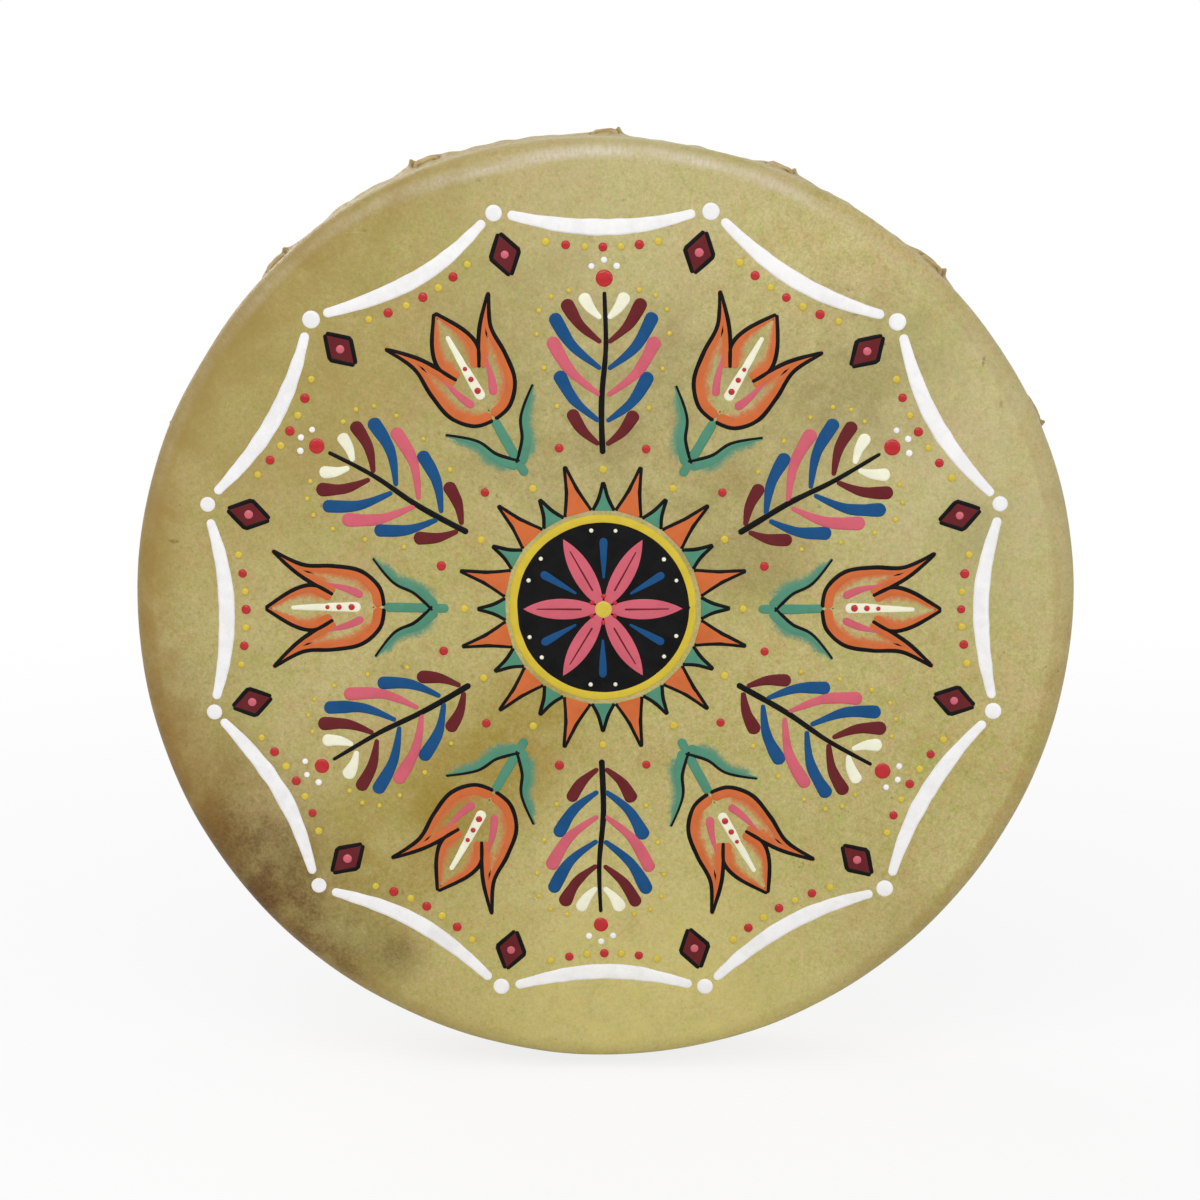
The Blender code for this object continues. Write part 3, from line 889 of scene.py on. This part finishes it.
def paint_fern(box, angle):
    """A stem with pairs of curved leaves, each pair in its own colour, and a berry at the tip."""
    stem = smooth_line((66, 0), (90, 0.8), (112, -0.5), (134, 0))
    box.brush("black", stem, angle, 2.6, "line", tail=0.6)
    for foot, reach, color in FERN_LEAVES:
        tip_u, tip_v = foot + 0.86 * reach, 0.80 * reach
        leaf = smooth_line((tip_u, tip_v), (foot + 0.36 * reach, 0.50 * reach), (foot, 1.5))
        box.brush(color, leaf, angle, 6.3, "base", 0.95, 0.3, both=True)
        box.dots("yellow", angle, 1.05, (tip_u + 1.5, -(tip_v + 5.4)), (tip_u + 1.5, tip_v + 5.4))
    box.dots("red", angle, 3.4, (139.5, 0), dome=0.8)
    box.dots("white", angle, 1.35, (144.5, -5.4), (147, 0), (144.5, 5.4))


def paint_garland(box, angle):
    """A white swag hung with beads, with a lozenge at its end."""
    half_span, low, rise = 13.2, 160.5, 11.0

    def place(turn, inward=0.0):
        return polar(low + rise * (turn / half_span) ** 2 - inward, math.radians(turn))

    swag = [place(half_span * k / 12) for k in range(-12, 13)]
    box.brush("white", swag, angle, 3.6, "line", belly=0.9)
    for k in range(-3, 4):
        color, radius = ("red", 1.9) if k % 2 == 0 else ("yellow", 1.6)
        box.dots(color, angle, radius, place(2.9 * k, 8.2))
    end = angle + 15
    box.dots("white", end, 3.5, (173.5, 0), dome=0.7)
    box.patch("maroon", [(147.5, 0), (156, 5.4), (164.5, 0), (156, -5.4)], end)
    box.brush("black", [(147, 0.3), (156, 6.2), (165, 0.3)], end, 1.8, "line", both=True)
    box.dots("pink", end, 1.9, (156, 0))


@cache
def paint_material(name, beads):
    """Satin brushed paint, a little uneven in tone, with fine brush ridges; its beads are glossy."""
    tree = new_tree(f"paint_bead_{name}" if beads else f"paint_{name}")
    place = tree.coordinates()
    *channels, alpha = PAINTS[name]
    darker = (*[channel * 0.78 for channel in channels], alpha)
    lighter = (*[min(1.0, channel * 1.10 + 0.004) for channel in channels], alpha)
    uneven = tree.noise(place, 120.0, 4.0, 0.6, 0.5)
    color = tree.mix(tree.ramp(uneven, 0.35, 0.7), lighter, PAINTS[name])
    worn = tree.ramp(tree.noise(place, 900.0, 3.0, 0.6), 0.58, 0.74)
    color = tree.tint(color, darker, worn, 0.35)
    ridges = tree.noise(place, 700.0, 4.0, 0.7)
    smooth, rough, ridge_height, level = (0.12, 0.2, 0.00002, 0.4) if beads else (0.36, 0.5, 0.00008, 0.1)
    roughness = tree.ramp(uneven, 0.3, 0.7, smooth, rough)
    return tree.finish(color, roughness, (ridges, ridge_height), Specular_IOR_Level=level)


# Wooden hoop

HOOP_COLUMNS = 480
HOOP_EASE = 1.0 * MM
EASE_MIDDLE = 0.3 * HOOP_EASE
HOOP_FRONT_EASE = 0.4 * MM
HOOP_INSIDE_SLACK = 0.15 * MM
HOOP_WAVES = ((4, 0.10 * MM, 0.7), (11, 0.05 * MM, 2.5))
SCARF_ANGLE = math.radians(318)
SCARF_LENGTH = math.radians(24)
SCARF_STEP = 0.9 * MM
SCARF_SLANT = 0.25


def scarf_rise(angle, y):
    """How far the strip's inner end stands in from the hoop's inside: a long taper that ends in a step."""
    slant = (y - HOOP_BACK_Y) / HOOP_INNER_RADIUS * SCARF_SLANT
    past = (angle - SCARF_ANGLE - slant) % TURN
    return SCARF_STEP * (1 - past / SCARF_LENGTH) ** 1.5 if past <= SCARF_LENGTH else 0.0


def shaped_strip(angle, radius, y, inside):
    """A point of the hoop's profile where it lies at an angle of the drum."""
    radius += out_of_round(angle)
    if inside:
        radius -= scarf_rise(angle, y) + HOOP_INSIDE_SLACK + wave(angle, HOOP_WAVES)
    return radius, y


def make_hoop(material):
    """The bent strip, with its bearing edge, eased corners and the step of its scarf joint inside."""
    corner_y, ease_y = HOOP_FRONT_Y + BEARING_RADIUS, HOOP_BACK_Y - HOOP_EASE
    outside = [(HOOP_INNER_RADIUS + HOOP_FRONT_EASE, HOOP_FRONT_Y)]
    outside += front_corner(HOOP_OUTER_RADIUS - BEARING_RADIUS, corner_y, BEARING_RADIUS, 8)
    outside += [(HOOP_OUTER_RADIUS, corner_y + (ease_y - corner_y) * share) for share in (0.35, 0.7, 1.0)]
    outside.append((HOOP_OUTER_RADIUS - EASE_MIDDLE, HOOP_BACK_Y - EASE_MIDDLE))
    outside.append((HOOP_OUTER_RADIUS - HOOP_EASE, HOOP_BACK_Y))
    inside = [(HOOP_INNER_RADIUS + HOOP_EASE, HOOP_BACK_Y)]
    inside.append((HOOP_INNER_RADIUS + EASE_MIDDLE, HOOP_BACK_Y - EASE_MIDDLE))
    run, steps = HOOP_FRONT_Y + HOOP_FRONT_EASE - ease_y, 12
    inside += [(HOOP_INNER_RADIUS, ease_y + run * (step / steps)) for step in range(steps + 1)]
    profile = [(*point, False) for point in outside] + [(*point, True) for point in inside]
    vertices, uvs = revolved(profile, HOOP_COLUMNS, HOOP_INNER_RADIUS, shaped_strip)
    faces = grid_faces(len(profile), HOOP_COLUMNS, closed_rows=True)
    piece_from("hoop_strip", vertices, faces, material, "wooden_hoop", uvs)


def wood_material():
    """Oiled ash: long grain round the strip, pores, a few darker bands and handling marks."""
    tree = new_tree("ash_wood")
    run = tree.coordinates("UV")
    bands = tree.noise(run, (3.0, 260.0, 1.0), 5.0, 0.65, 1.2)
    pores = tree.noise(run, (60.0, 2400.0, 1.0), 3.0, 0.6)
    marks = tree.noise(tree.coordinates(), 26.0, 5.0, 0.6, 0.4)
    light, dark, line = linear(206, 170, 122), linear(172, 130, 84), linear(112, 76, 42)
    color = tree.mix(tree.ramp(bands, 0.36, 0.66), light, dark)
    color = tree.tint(color, line, tree.ramp(pores, 0.58, 0.72), 0.55)
    color = tree.tint(color, line, tree.ramp(marks, 0.52, 0.75), 0.35)
    return tree.finish(color, tree.ramp(marks, 0.3, 0.7, 0.42, 0.6), (pores, 0.00012), (bands, 0.00008))


# Grip ring

RING_COLUMNS, RING_SIDES = 128, 20
RING_UNEVENNESS = 0.10 * MM
WELD_ANGLE, WELD_HALF_WIDTH = math.radians(205), 0.09
WELD_HEIGHT = 0.35 * MM


def make_ring(material):
    """A forged ring, slightly uneven, with the low swelling of its weld."""
    vertices = []
    for side in range(RING_SIDES):
        turn = TURN * side / RING_SIDES
        for column in range(RING_COLUMNS):
            angle = TURN * column / RING_COLUMNS
            spot = Vector((*polar(1.0, angle), math.cos(turn)))
            from_weld = (angle - WELD_ANGLE + math.pi) % TURN - math.pi
            bar = RING_BAR_RADIUS + RING_UNEVENNESS * noise.noise(spot * 5.0)
            bar += WELD_HEIGHT * hill(from_weld, WELD_HALF_WIDTH)
            out, y = polar(bar, turn)
            x, z = polar(RING_RADIUS + out, angle)
            vertices.append((x, y, z))
    faces = grid_faces(RING_SIDES, RING_COLUMNS, closed_rows=True)
    piece_from("forged_ring", vertices, faces, material, "grip_ring")


def iron_material():
    """Blackened iron with scale, rubbed brighter in places and a trace of rust."""
    tree = new_tree("iron")
    place = tree.coordinates()
    scale = tree.noise(place, 260.0, 5.0, 0.65)
    rubbed = tree.ramp(tree.noise(place, 70.0, 4.0, 0.6), 0.5, 0.68)
    black, bright, rust = linear(58, 54, 51), linear(118, 112, 104), linear(98, 56, 32)
    color = tree.mix(rubbed, black, bright)
    color = tree.tint(color, rust, tree.ramp(scale, 0.58, 0.7), 0.5)
    return tree.finish(color, tree.ramp(scale, 0.3, 0.7, 0.34, 0.6), (scale, 0.00018), Metallic=0.85)


# Rawhide laces

LACE_SIDES = 12
LACE_STEP = 1.1 * MM
LACE_HALF_WIDTH = 1.42 * MM
LACE_HALF_HEIGHT = 1.02 * MM
LACE_TWIST_LENGTH = 30 * MM
LACE_LUMPS, LUMPS_PER_STEP = 0.09, 0.11
STITCH_SINK = 0.3 * MM
RING_TURN_STEPS = 18
CORNER_SHARE = 0.45
NEARLY_STRAIGHT = math.radians(88)
NEARLY_UPRIGHT = 0.98
# The rounding of each side's corners, as (radius, steps): at the sleeve, inside the hoop, over it, outside
LACE_BENDS = ((6.0 * MM, 6), (5.0 * MM, 3), (5.0 * MM, 4), (2.0 * MM, 6))


def arm_spin(arm):
    """Turns what is drawn along +X to its arm of the grip."""
    return Matrix.Rotation(-(FIRST_ARM_ANGLE + arm * ARM_PITCH_ANGLE), 3, "Y")


def strand_ring(point, direction, sides, half_width, half_height, twist=0.0):
    """Points round a strand's line, on an oval that its twist turns."""
    side = Vector((0.0, 0.0, 1.0))
    if abs(direction.y) < NEARLY_UPRIGHT:
        side = direction.cross(Vector((0.0, 1.0, 0.0))).normalized()
    up = side.cross(direction)
    cosine, sine = polar(1.0, twist)
    ring = []
    for k in range(sides):
        turn = TURN * k / sides
        wide, high = half_width * math.cos(turn), half_height * math.sin(turn)
        ring.append(point + side * (wide * cosine - high * sine) + up * (wide * sine + high * cosine))
    return ring


def rounded(before, corner, after, radius, steps):
    """Points on the arc that rounds off a corner."""
    first, second = (before - corner).normalized(), (after - corner).normalized()
    half = first.angle(second) / 2
    if half > NEARLY_STRAIGHT:
        return [corner]
    shorter = min((before - corner).length, (after - corner).length)
    cut = min(radius / math.tan(half), CORNER_SHARE * shorter)
    start, end = corner + first * cut, corner + second * cut
    shares = [k / steps for k in range(steps + 1)]
    return [start * (1 - t) ** 2 + corner * (2 * t * (1 - t)) + end * t**2 for t in shares]


def side_corners(arm, slot, side, vary):
    """One side of a lace loop, from its sleeve to the outside of the lip, with its arm along +X."""
    place_in_arm = slot - (LOOPS_PER_ARM - 1) / 2
    offset, point_angle = place_in_arm * STRAND_PITCH, place_in_arm * LACE_PITCH_ANGLE
    cosine, sine = polar(1.0, point_angle)
    outward, along = Vector((cosine, 0.0, sine)), Vector((-sine, 0.0, cosine))
    place = along * (side * HOLE_SPACING / 2) + Vector((0.0, LACE_Y, 0.0))
    arm_angle = FIRST_ARM_ANGLE + arm * ARM_PITCH_ANGLE
    hole_angle = arm_angle + point_angle + side * HOLE_SPACING / 2 / DRUM_RADIUS
    over = outward * (HOOP_MIDDLE_RADIUS + out_of_round(hole_angle)) + place
    mouth = Vector((SLEEVE_START - CLEARANCE, side * LAYER_Y, offset))
    fan = Vector((SLEEVE_END + FAN_START, side * LAYER_Y, offset))
    run = over - fan
    inside = over - run * ((HOOP_THICKNESS / 2 + 4 * LACE_RADIUS) / run.length)
    inside.y = LACE_Y
    surface = DRUM_RADIUS + head_bulge(hole_angle, LACE_Y, holes=False) + out_of_round(hole_angle)
    bend = outward * (surface + STITCH_SINK * vary.uniform(0.7, 1.3)) + place
    return [mouth, fan, inside, over, bend]


def loop_route(arm, slot, vary):
    """The closed centre line of a lace loop: round the grip ring, out along one side and back."""
    offset = (slot - (LOOPS_PER_ARM - 1) / 2) * STRAND_PITCH
    turn_radius = RING_BAR_RADIUS + CLEARANCE + LACE_RADIUS
    centre = math.sqrt(RING_RADIUS**2 - offset**2)
    meeting = SLEEVE_START - CLEARANCE - centre
    first = math.atan2(LAYER_Y, meeting) + math.acos(turn_radius / math.hypot(meeting, LAYER_Y))
    route = []
    for k in range(RING_TURN_STEPS + 1):
        turn = first + (TURN - 2 * first) * k / RING_TURN_STEPS
        across, y = polar(turn_radius, turn)
        route.append(Vector((centre + across, y, offset)))
    corners = side_corners(arm, slot, -1, vary)
    corners += side_corners(arm, slot, 1, vary)[::-1]
    bends = LACE_BENDS + LACE_BENDS[::-1]
    route.append(corners[0])
    for before, corner, after, (radius, steps) in zip(corners, corners[1:], corners[2:], bends):
        route += rounded(before, corner, after, radius, steps)
    return [*route, corners[-1]]


def evenly_spaced(route, step):
    """A closed route with points about one step apart."""
    closed = [*route, route[0]]
    length = length_of(closed)
    count = round(length / step)
    return points_along(closed, [length * k / count for k in range(count)])


def make_lace(number, material):
    """One loop of twisted flat lace, with small lumps and a changing twist."""
    arm, slot = divmod(number, LOOPS_PER_ARM)
    vary = random.Random(SEED * 7 + number)
    points = evenly_spaced(loop_route(arm, slot, vary), LACE_STEP)
    spin = arm_spin(arm)
    phase, lumps = vary.uniform(0, TURN), vary.uniform(0, 90)
    count = len(points)
    turns = round(count * LACE_STEP / LACE_TWIST_LENGTH)
    vertices, uvs = [], []
    for index, point in enumerate(points):
        direction = (points[(index + 1) % count] - points[index - 1]).normalized()
        twist = phase + TURN * turns * index / count
        swell = 1 + LACE_LUMPS * noise.noise((lumps, index * LUMPS_PER_STEP, 0.0))
        wide, high = LACE_HALF_WIDTH * swell, LACE_HALF_HEIGHT * swell
        for k, place in enumerate(strand_ring(point, direction, LACE_SIDES, wide, high, twist)):
            vertices.append(tuple(spin @ place))
            uvs.append((index * LACE_STEP, TURN * k / LACE_SIDES * LACE_RADIUS))
    faces = grid_faces(count, LACE_SIDES, closed_rows=True)
    label = f"{number + 1:02d}"
    piece_from(f"lace_{label}", vertices, faces, material, f"lace_loop_{label}", uvs)


def lace_material():
    """Dried rawhide lace: pale tan and tan in patches, with brown fibres along it."""
    tree = new_tree("lace_rawhide")
    fibres = tree.noise(tree.coordinates("UV"), (60.0, 2200.0, 1.0), 3.0, 0.6)
    blotch = tree.noise(tree.coordinates(), 90.0, 4.0, 0.6, 0.4)
    pale, tan, brown = linear(198, 178, 128), linear(172, 144, 90), linear(116, 84, 44)
    color = tree.mix(tree.ramp(blotch, 0.35, 0.65), pale, tan)
    color = tree.tint(color, brown, tree.ramp(fibres, 0.52, 0.7), 0.5)
    return tree.finish(color, tree.ramp(blotch, 0.3, 0.7, 0.4, 0.58), (fibres, 0.00015))


# Leather sleeves

SLEEVE_COLUMNS, SLEEVE_ROWS = 128, 61
SLEEVE_GIRTH = 45 * MM
SLEEVE_CORNER = 1.6 * MM
SLEEVE_SWELL = 0.5 * MM
SLEEVE_SQUARENESS = 1.5
BORE_HALF_WIDTH = (LOOPS_PER_ARM - 1) * STRAND_PITCH / 2 + LACE_RADIUS + CLEARANCE
BORE_HALF_HEIGHT = LAYER_Y + LACE_RADIUS + CLEARANCE
RAGGED_END, RAGGED_BORE = 0.5 * MM, 1.2
ROLLED_END, ROLLED_END_LENGTH = 0.5 * MM, 0.8 * MM
CREASE_HEIGHT = 0.35 * MM
SEAM_TURN = 0.25
SEAM_WIDTH = 1.6 * MM
SEAM_LIP_MIDDLE = 0.8 * SEAM_WIDTH
SEAM_LIP_HEIGHT, SEAM_LIP_HALF_WIDTH = 0.55 * MM, 0.7 * MM
SEAM_GROOVE_DEPTH, SEAM_GROOVE_HALF_WIDTH = 0.8 * MM, 0.5 * MM
STITCH_COUNT = 9
STITCH_ROOM = STITCH_COUNT + 0.6
STITCH_PITCH = SLEEVE_LENGTH / STITCH_ROOM
# In pitches from the sleeve's start: the first stitch's middle, and where the swell under it is taken
FIRST_STITCH, FIRST_SWELL = 0.55, 0.8
STITCH_HALF_LENGTH, STITCH_HALF_WIDTH = 0.42 * STITCH_PITCH, 2.3 * SEAM_WIDTH
STITCH_STEPS, THREAD_SIDES = 12, 8
THREAD_RADIUS = 0.38 * MM
THREAD_GAP = 0.45 * MM
THREAD_RISE, THREAD_DIP, CROSSING_LIFT = 0.55 * MM, 1.1 * MM, 0.22 * MM


def sleeve_section(turn):
    """A point on the bore's rounded rectangle, as (z, y) at a share of the way round; 0.25 is its back."""
    measures = []
    for half_size, part in zip((BORE_HALF_WIDTH, BORE_HALF_HEIGHT), polar(1.0, TURN * turn)):
        flat = (half_size - SLEEVE_CORNER) * min(1.0, abs(part) * SLEEVE_SQUARENESS)
        measures.append(math.copysign(flat, part) + SLEEVE_CORNER * part)
    return measures


def sleeve_thickness(arm, share, turn):
    """How thick the leather stands at a place: rolled ends, creases and the two lips of the seam."""
    thickness = SLEEVE_WALL + SLEEVE_SWELL * math.sin(math.pi * share)
    thickness -= ROLLED_END * hill(min(share, 1 - share) * SLEEVE_LENGTH, ROLLED_END_LENGTH)
    thickness += CREASE_HEIGHT * noise.noise((share * 14.0 + arm * 5, turn * 3.0, 2.0))
    from_seam = (turn - SEAM_TURN) * SLEEVE_GIRTH
    thickness += SEAM_LIP_HEIGHT * hill(abs(from_seam) - SEAM_LIP_MIDDLE, SEAM_LIP_HALF_WIDTH)
    return thickness - SEAM_GROOVE_DEPTH * hill(from_seam, SEAM_GROOVE_HALF_WIDTH)


def make_sleeve(arm, material):
    """A wrapped leather tube with a raised seam along its back and slack creases."""
    spin, rows = arm_spin(arm), range(SLEEVE_ROWS)
    vertices, uvs = [], []
    for outer, row in [(True, row) for row in rows] + [(False, row) for row in reversed(rows)]:
        share = row / (SLEEVE_ROWS - 1)
        raggedness = RAGGED_END * (1 if 0 < share < 1 else RAGGED_BORE)
        for column in range(SLEEVE_COLUMNS):
            turn = column / SLEEVE_COLUMNS
            z, y = sleeve_section(turn)
            ragged = raggedness * noise.noise((arm * 9.0, turn * 9.0, share * 2))
            place = Vector((SLEEVE_START + SLEEVE_LENGTH * share + ragged, y, z))
            if outer:
                place += Vector((0.0, y, z)).normalized() * sleeve_thickness(arm, share, turn)
            vertices.append(tuple(spin @ place))
            uvs.append((share * SLEEVE_LENGTH, turn * SLEEVE_GIRTH))
    faces = grid_faces(2 * SLEEVE_ROWS, SLEEVE_COLUMNS, closed_rows=True)
    name = f"sleeve_{arm + 1}"
    piece_from(name, vertices, faces, material, f"grip_{name}", uvs)


def thread_path(stitch, lean):
    """One thread over the seam, from lip to lip; a stitch has two, which lean either way and cross."""
    middle = SLEEVE_START + STITCH_PITCH * (stitch + FIRST_STITCH)
    surface = BORE_HALF_HEIGHT + SLEEVE_WALL + THREAD_GAP
    surface += SLEEVE_SWELL * math.sin(math.pi * (stitch + FIRST_SWELL) / STITCH_ROOM)
    path = []
    for k in range(STITCH_STEPS + 1):
        across = (k / STITCH_STEPS - 0.5) * 2
        rise = THREAD_RISE * (1 - across**6) - THREAD_DIP * across**6
        lift = CROSSING_LIFT * lean * (1 - across**2)
        x, z = middle + lean * across * STITCH_HALF_LENGTH, across * STITCH_HALF_WIDTH
        path.append(Vector((x, surface + rise + lift, z)))
    return path


def make_stitches(arm, material):
    """Waxed thread crossing the seam from lip to lip all along a sleeve."""
    spin = arm_spin(arm)
    vertices, faces = [], []
    for stitch in range(STITCH_COUNT):
        for lean in (-1, 1):
            path = thread_path(stitch, lean)
            faces += capped_faces(len(path), THREAD_SIDES, len(vertices))
            for point, direction in zip(path, headings(path)):
                ring = strand_ring(point, direction, THREAD_SIDES, THREAD_RADIUS, THREAD_RADIUS)
                vertices += [tuple(spin @ place) for place in ring]
    piece_from(f"sleeve_stitches_{arm + 1}", vertices, faces, material)


def leather_material():
    """Dark brown leather: fine grain, suede nap, rubbed paler where it stands out, and painted shade in the
    seam's groove.
    """
    tree = new_tree("sleeve_leather")
    place = tree.coordinates()
    grain = tree.add("TexVoronoi", Vector=place, Scale=900.0).outputs["Distance"]
    nap = tree.noise(place, 420.0, 5.0, 0.7)
    tone = tree.noise(place, 60.0, 4.0, 0.6, 0.5)
    brown, dark, pale = linear(106, 62, 34), linear(70, 40, 22), linear(142, 94, 56)
    color = tree.mix(tree.ramp(tone, 0.35, 0.68), brown, dark)
    color = tree.tint(color, pale, tree.ramp(nap, 0.5, 0.7), 0.4)
    around = tree.axes(tree.coordinates("UV"))[1]
    from_seam = tree.math("ABSOLUTE", tree.math("SUBTRACT", around, SEAM_TURN * SLEEVE_GIRTH))
    groove_painted_shade = tree.ramp(from_seam, 0.15 * MM, 0.8 * MM, 0.85, 0.0)
    onto_lip = tree.ramp(from_seam, 0.7 * MM, 1.4 * MM)
    off_lip = tree.ramp(from_seam, 1.6 * MM, 2.4 * MM, 0.5, 0.0)
    # Painted shade: the seam's groove is darkened almost to black
    color = tree.tint(color, linear(30, 18, 12), groove_painted_shade)
    color = tree.tint(color, linear(150, 104, 66), onto_lip, off_lip)
    roughness = tree.ramp(nap, 0.3, 0.7, 0.5, 0.72)
    return tree.finish(color, roughness, (grain, 0.00022), (nap, 0.00024), Specular_IOR_Level=0.35)


def thread_material():
    """Waxed natural thread with its ply as a fine slant."""
    tree = new_tree("waxed_thread")
    place = tree.coordinates()
    ply = tree.add("TexWave", Vector=place, Scale=900.0, Distortion=1.5).outputs["Fac"]
    tone = tree.noise(place, 200.0, 3.0)
    pale, tan, brown = linear(216, 196, 156), linear(176, 150, 108), linear(110, 86, 54)
    color = tree.mix(tree.ramp(tone, 0.35, 0.65), pale, tan)
    color = tree.tint(color, brown, ply, 0.3)
    return tree.finish(color, tree.ramp(tone, 0.3, 0.7, 0.45, 0.6), (ply, 0.0001))


# Studio

WORLD_LIGHT = 0.5
FLOOR_SIZE = 12.0
FLOOR_GAP = 0.4 * MM
GLOW_START, GLOW_FULL, LEAST_GLOW = 0.3, 1.3, 0.82
FLOOR_COLOR = linear(246, 246, 245)


def add_world():
    """White to the camera and to mirrors, and an even soft light on everything else."""
    world = bpy.data.worlds.new("studio")
    bpy.context.scene.world = world
    tree = Tree(world)
    rays = tree.add("LightPath").outputs
    clear = tree.math("MAXIMUM", rays["Is Glossy Ray"], rays["Is Transmission Ray"])
    seen = tree.math("MAXIMUM", rays["Is Camera Ray"], clear)
    strength = tree.add("MapRange", Value=seen, To_Min=WORLD_LIGHT, To_Max=1.0).outputs["Result"]
    tree.fill(tree.nodes["Background"], Color=WHITE, Strength=strength)


def floor_material():
    """Pale and matt, and glowing white to the camera further off."""
    tree = new_tree("floor")
    shader = tree.nodes["Principled BSDF"]
    tree.fill(shader, Base_Color=FLOOR_COLOR, Roughness=0.9, Specular_IOR_Level=0.0)
    distance = tree.add("VectorMath", {"operation": "LENGTH"}, Vector=tree.coordinates()).outputs["Value"]
    far = tree.ramp(distance, GLOW_START, GLOW_FULL, LEAST_GLOW)
    share = tree.times(tree.add("LightPath").outputs["Is Camera Ray"], far)
    blend = tree.add("MixShader", Fac=share)
    tree.set(blend.inputs[1], shader.outputs["BSDF"])
    tree.set(blend.inputs[2], tree.add("Emission", Color=WHITE).outputs["Emission"])
    tree.fill(tree.nodes["Material Output"], Surface=blend.outputs["Shader"])
    return tree.owner


def add_floor():
    """A wide pale floor that keeps the drum's shadow and turns pure white further off."""
    half, level = FLOOR_SIZE / 2, cad_low.z - FLOOR_GAP
    mesh = bpy.data.meshes.new("floor")
    corners = [(-half, -half, level), (half, -half, level), (half, half, level), (-half, half, level)]
    mesh.from_pydata(corners, [], [(0, 1, 2, 3)])
    mesh.materials.append(floor_material())
    floor = new_object("floor", mesh)


def aim(thing, place, target):
    thing.location = place
    thing.rotation_euler = (target - place).to_track_quat("-Z", "Y").to_euler()


def add_area_light(name, place, target, size, power):
    lamp = bpy.data.lights.new(name, "AREA")
    lamp.shape = "RECTANGLE"
    lamp.size, lamp.size_y = size
    lamp.energy = power
    aim(new_object(name, lamp), Vector(place), Vector(target))


def add_lights():
    """A large soft light above the front, a strip over the rim, a weak one at the right and one behind."""
    middle = (0.0, FACE_Y, 0.0)
    add_area_light("strip", (0.0, -1.25, 0.72), (0.0, 0.0, HEAD_HIGH.z), (1.8, 0.2), 4.0)
    add_area_light("key", (-0.35, -1.1, 1.55), middle, (1.6, 1.0), 10.0)
    add_area_light("side", (1.7, -1.2, 0.5), middle, (1.0, 1.4), 5.0)
    add_area_light("back", (-1.2, 1.5, 1.1), middle, (1.4, 1.2), 11.0)


def add_camera():
    """The camera of the photograph, from the face's place and outline in it."""
    elevation, azimuth = math.radians(CAMERA_ELEVATION), math.radians(CAMERA_AZIMUTH)
    level = math.cos(elevation)
    away = Vector((math.sin(azimuth) * level, -math.cos(azimuth) * level, math.sin(elevation)))
    face = Vector((0.0, FACE_Y, 0.0))
    place = face + away * CAMERA_DISTANCE
    right = Vector((0.0, 0.0, 1.0)).cross(away).normalized()
    up = away.cross(right)
    pixel = CAMERA_DISTANCE / FOCAL_PIXELS
    half = PHOTO_SIZE / 2
    target = face - right * ((FACE_CENTRE_PIXEL[0] - half) * pixel)
    target += up * ((FACE_CENTRE_PIXEL[1] - half) * pixel)
    data = bpy.data.cameras.new("camera")
    data.sensor_width = SENSOR_WIDTH
    data.lens = SENSOR_WIDTH * FOCAL_PIXELS / PHOTO_SIZE
    data.clip_start = 0.01
    camera = new_object("camera", data)
    aim(camera, place, target)
    bpy.context.scene.camera = camera


def main():
    noise.seed_set(SEED)
    bpy.context.scene.view_settings.view_transform = "Standard"
    add_camera()
    add_world()
    add_floor()
    add_lights()
    make_head(rawhide_material())
    paint_pattern()
    make_hoop(wood_material())
    make_ring(iron_material())
    lace = lace_material()
    for number in range(LACE_POINTS):
        make_lace(number, lace)
    leather, thread = leather_material(), thread_material()
    for arm in range(ARMS):
        make_sleeve(arm, leather)
        make_stitches(arm, thread)


main()
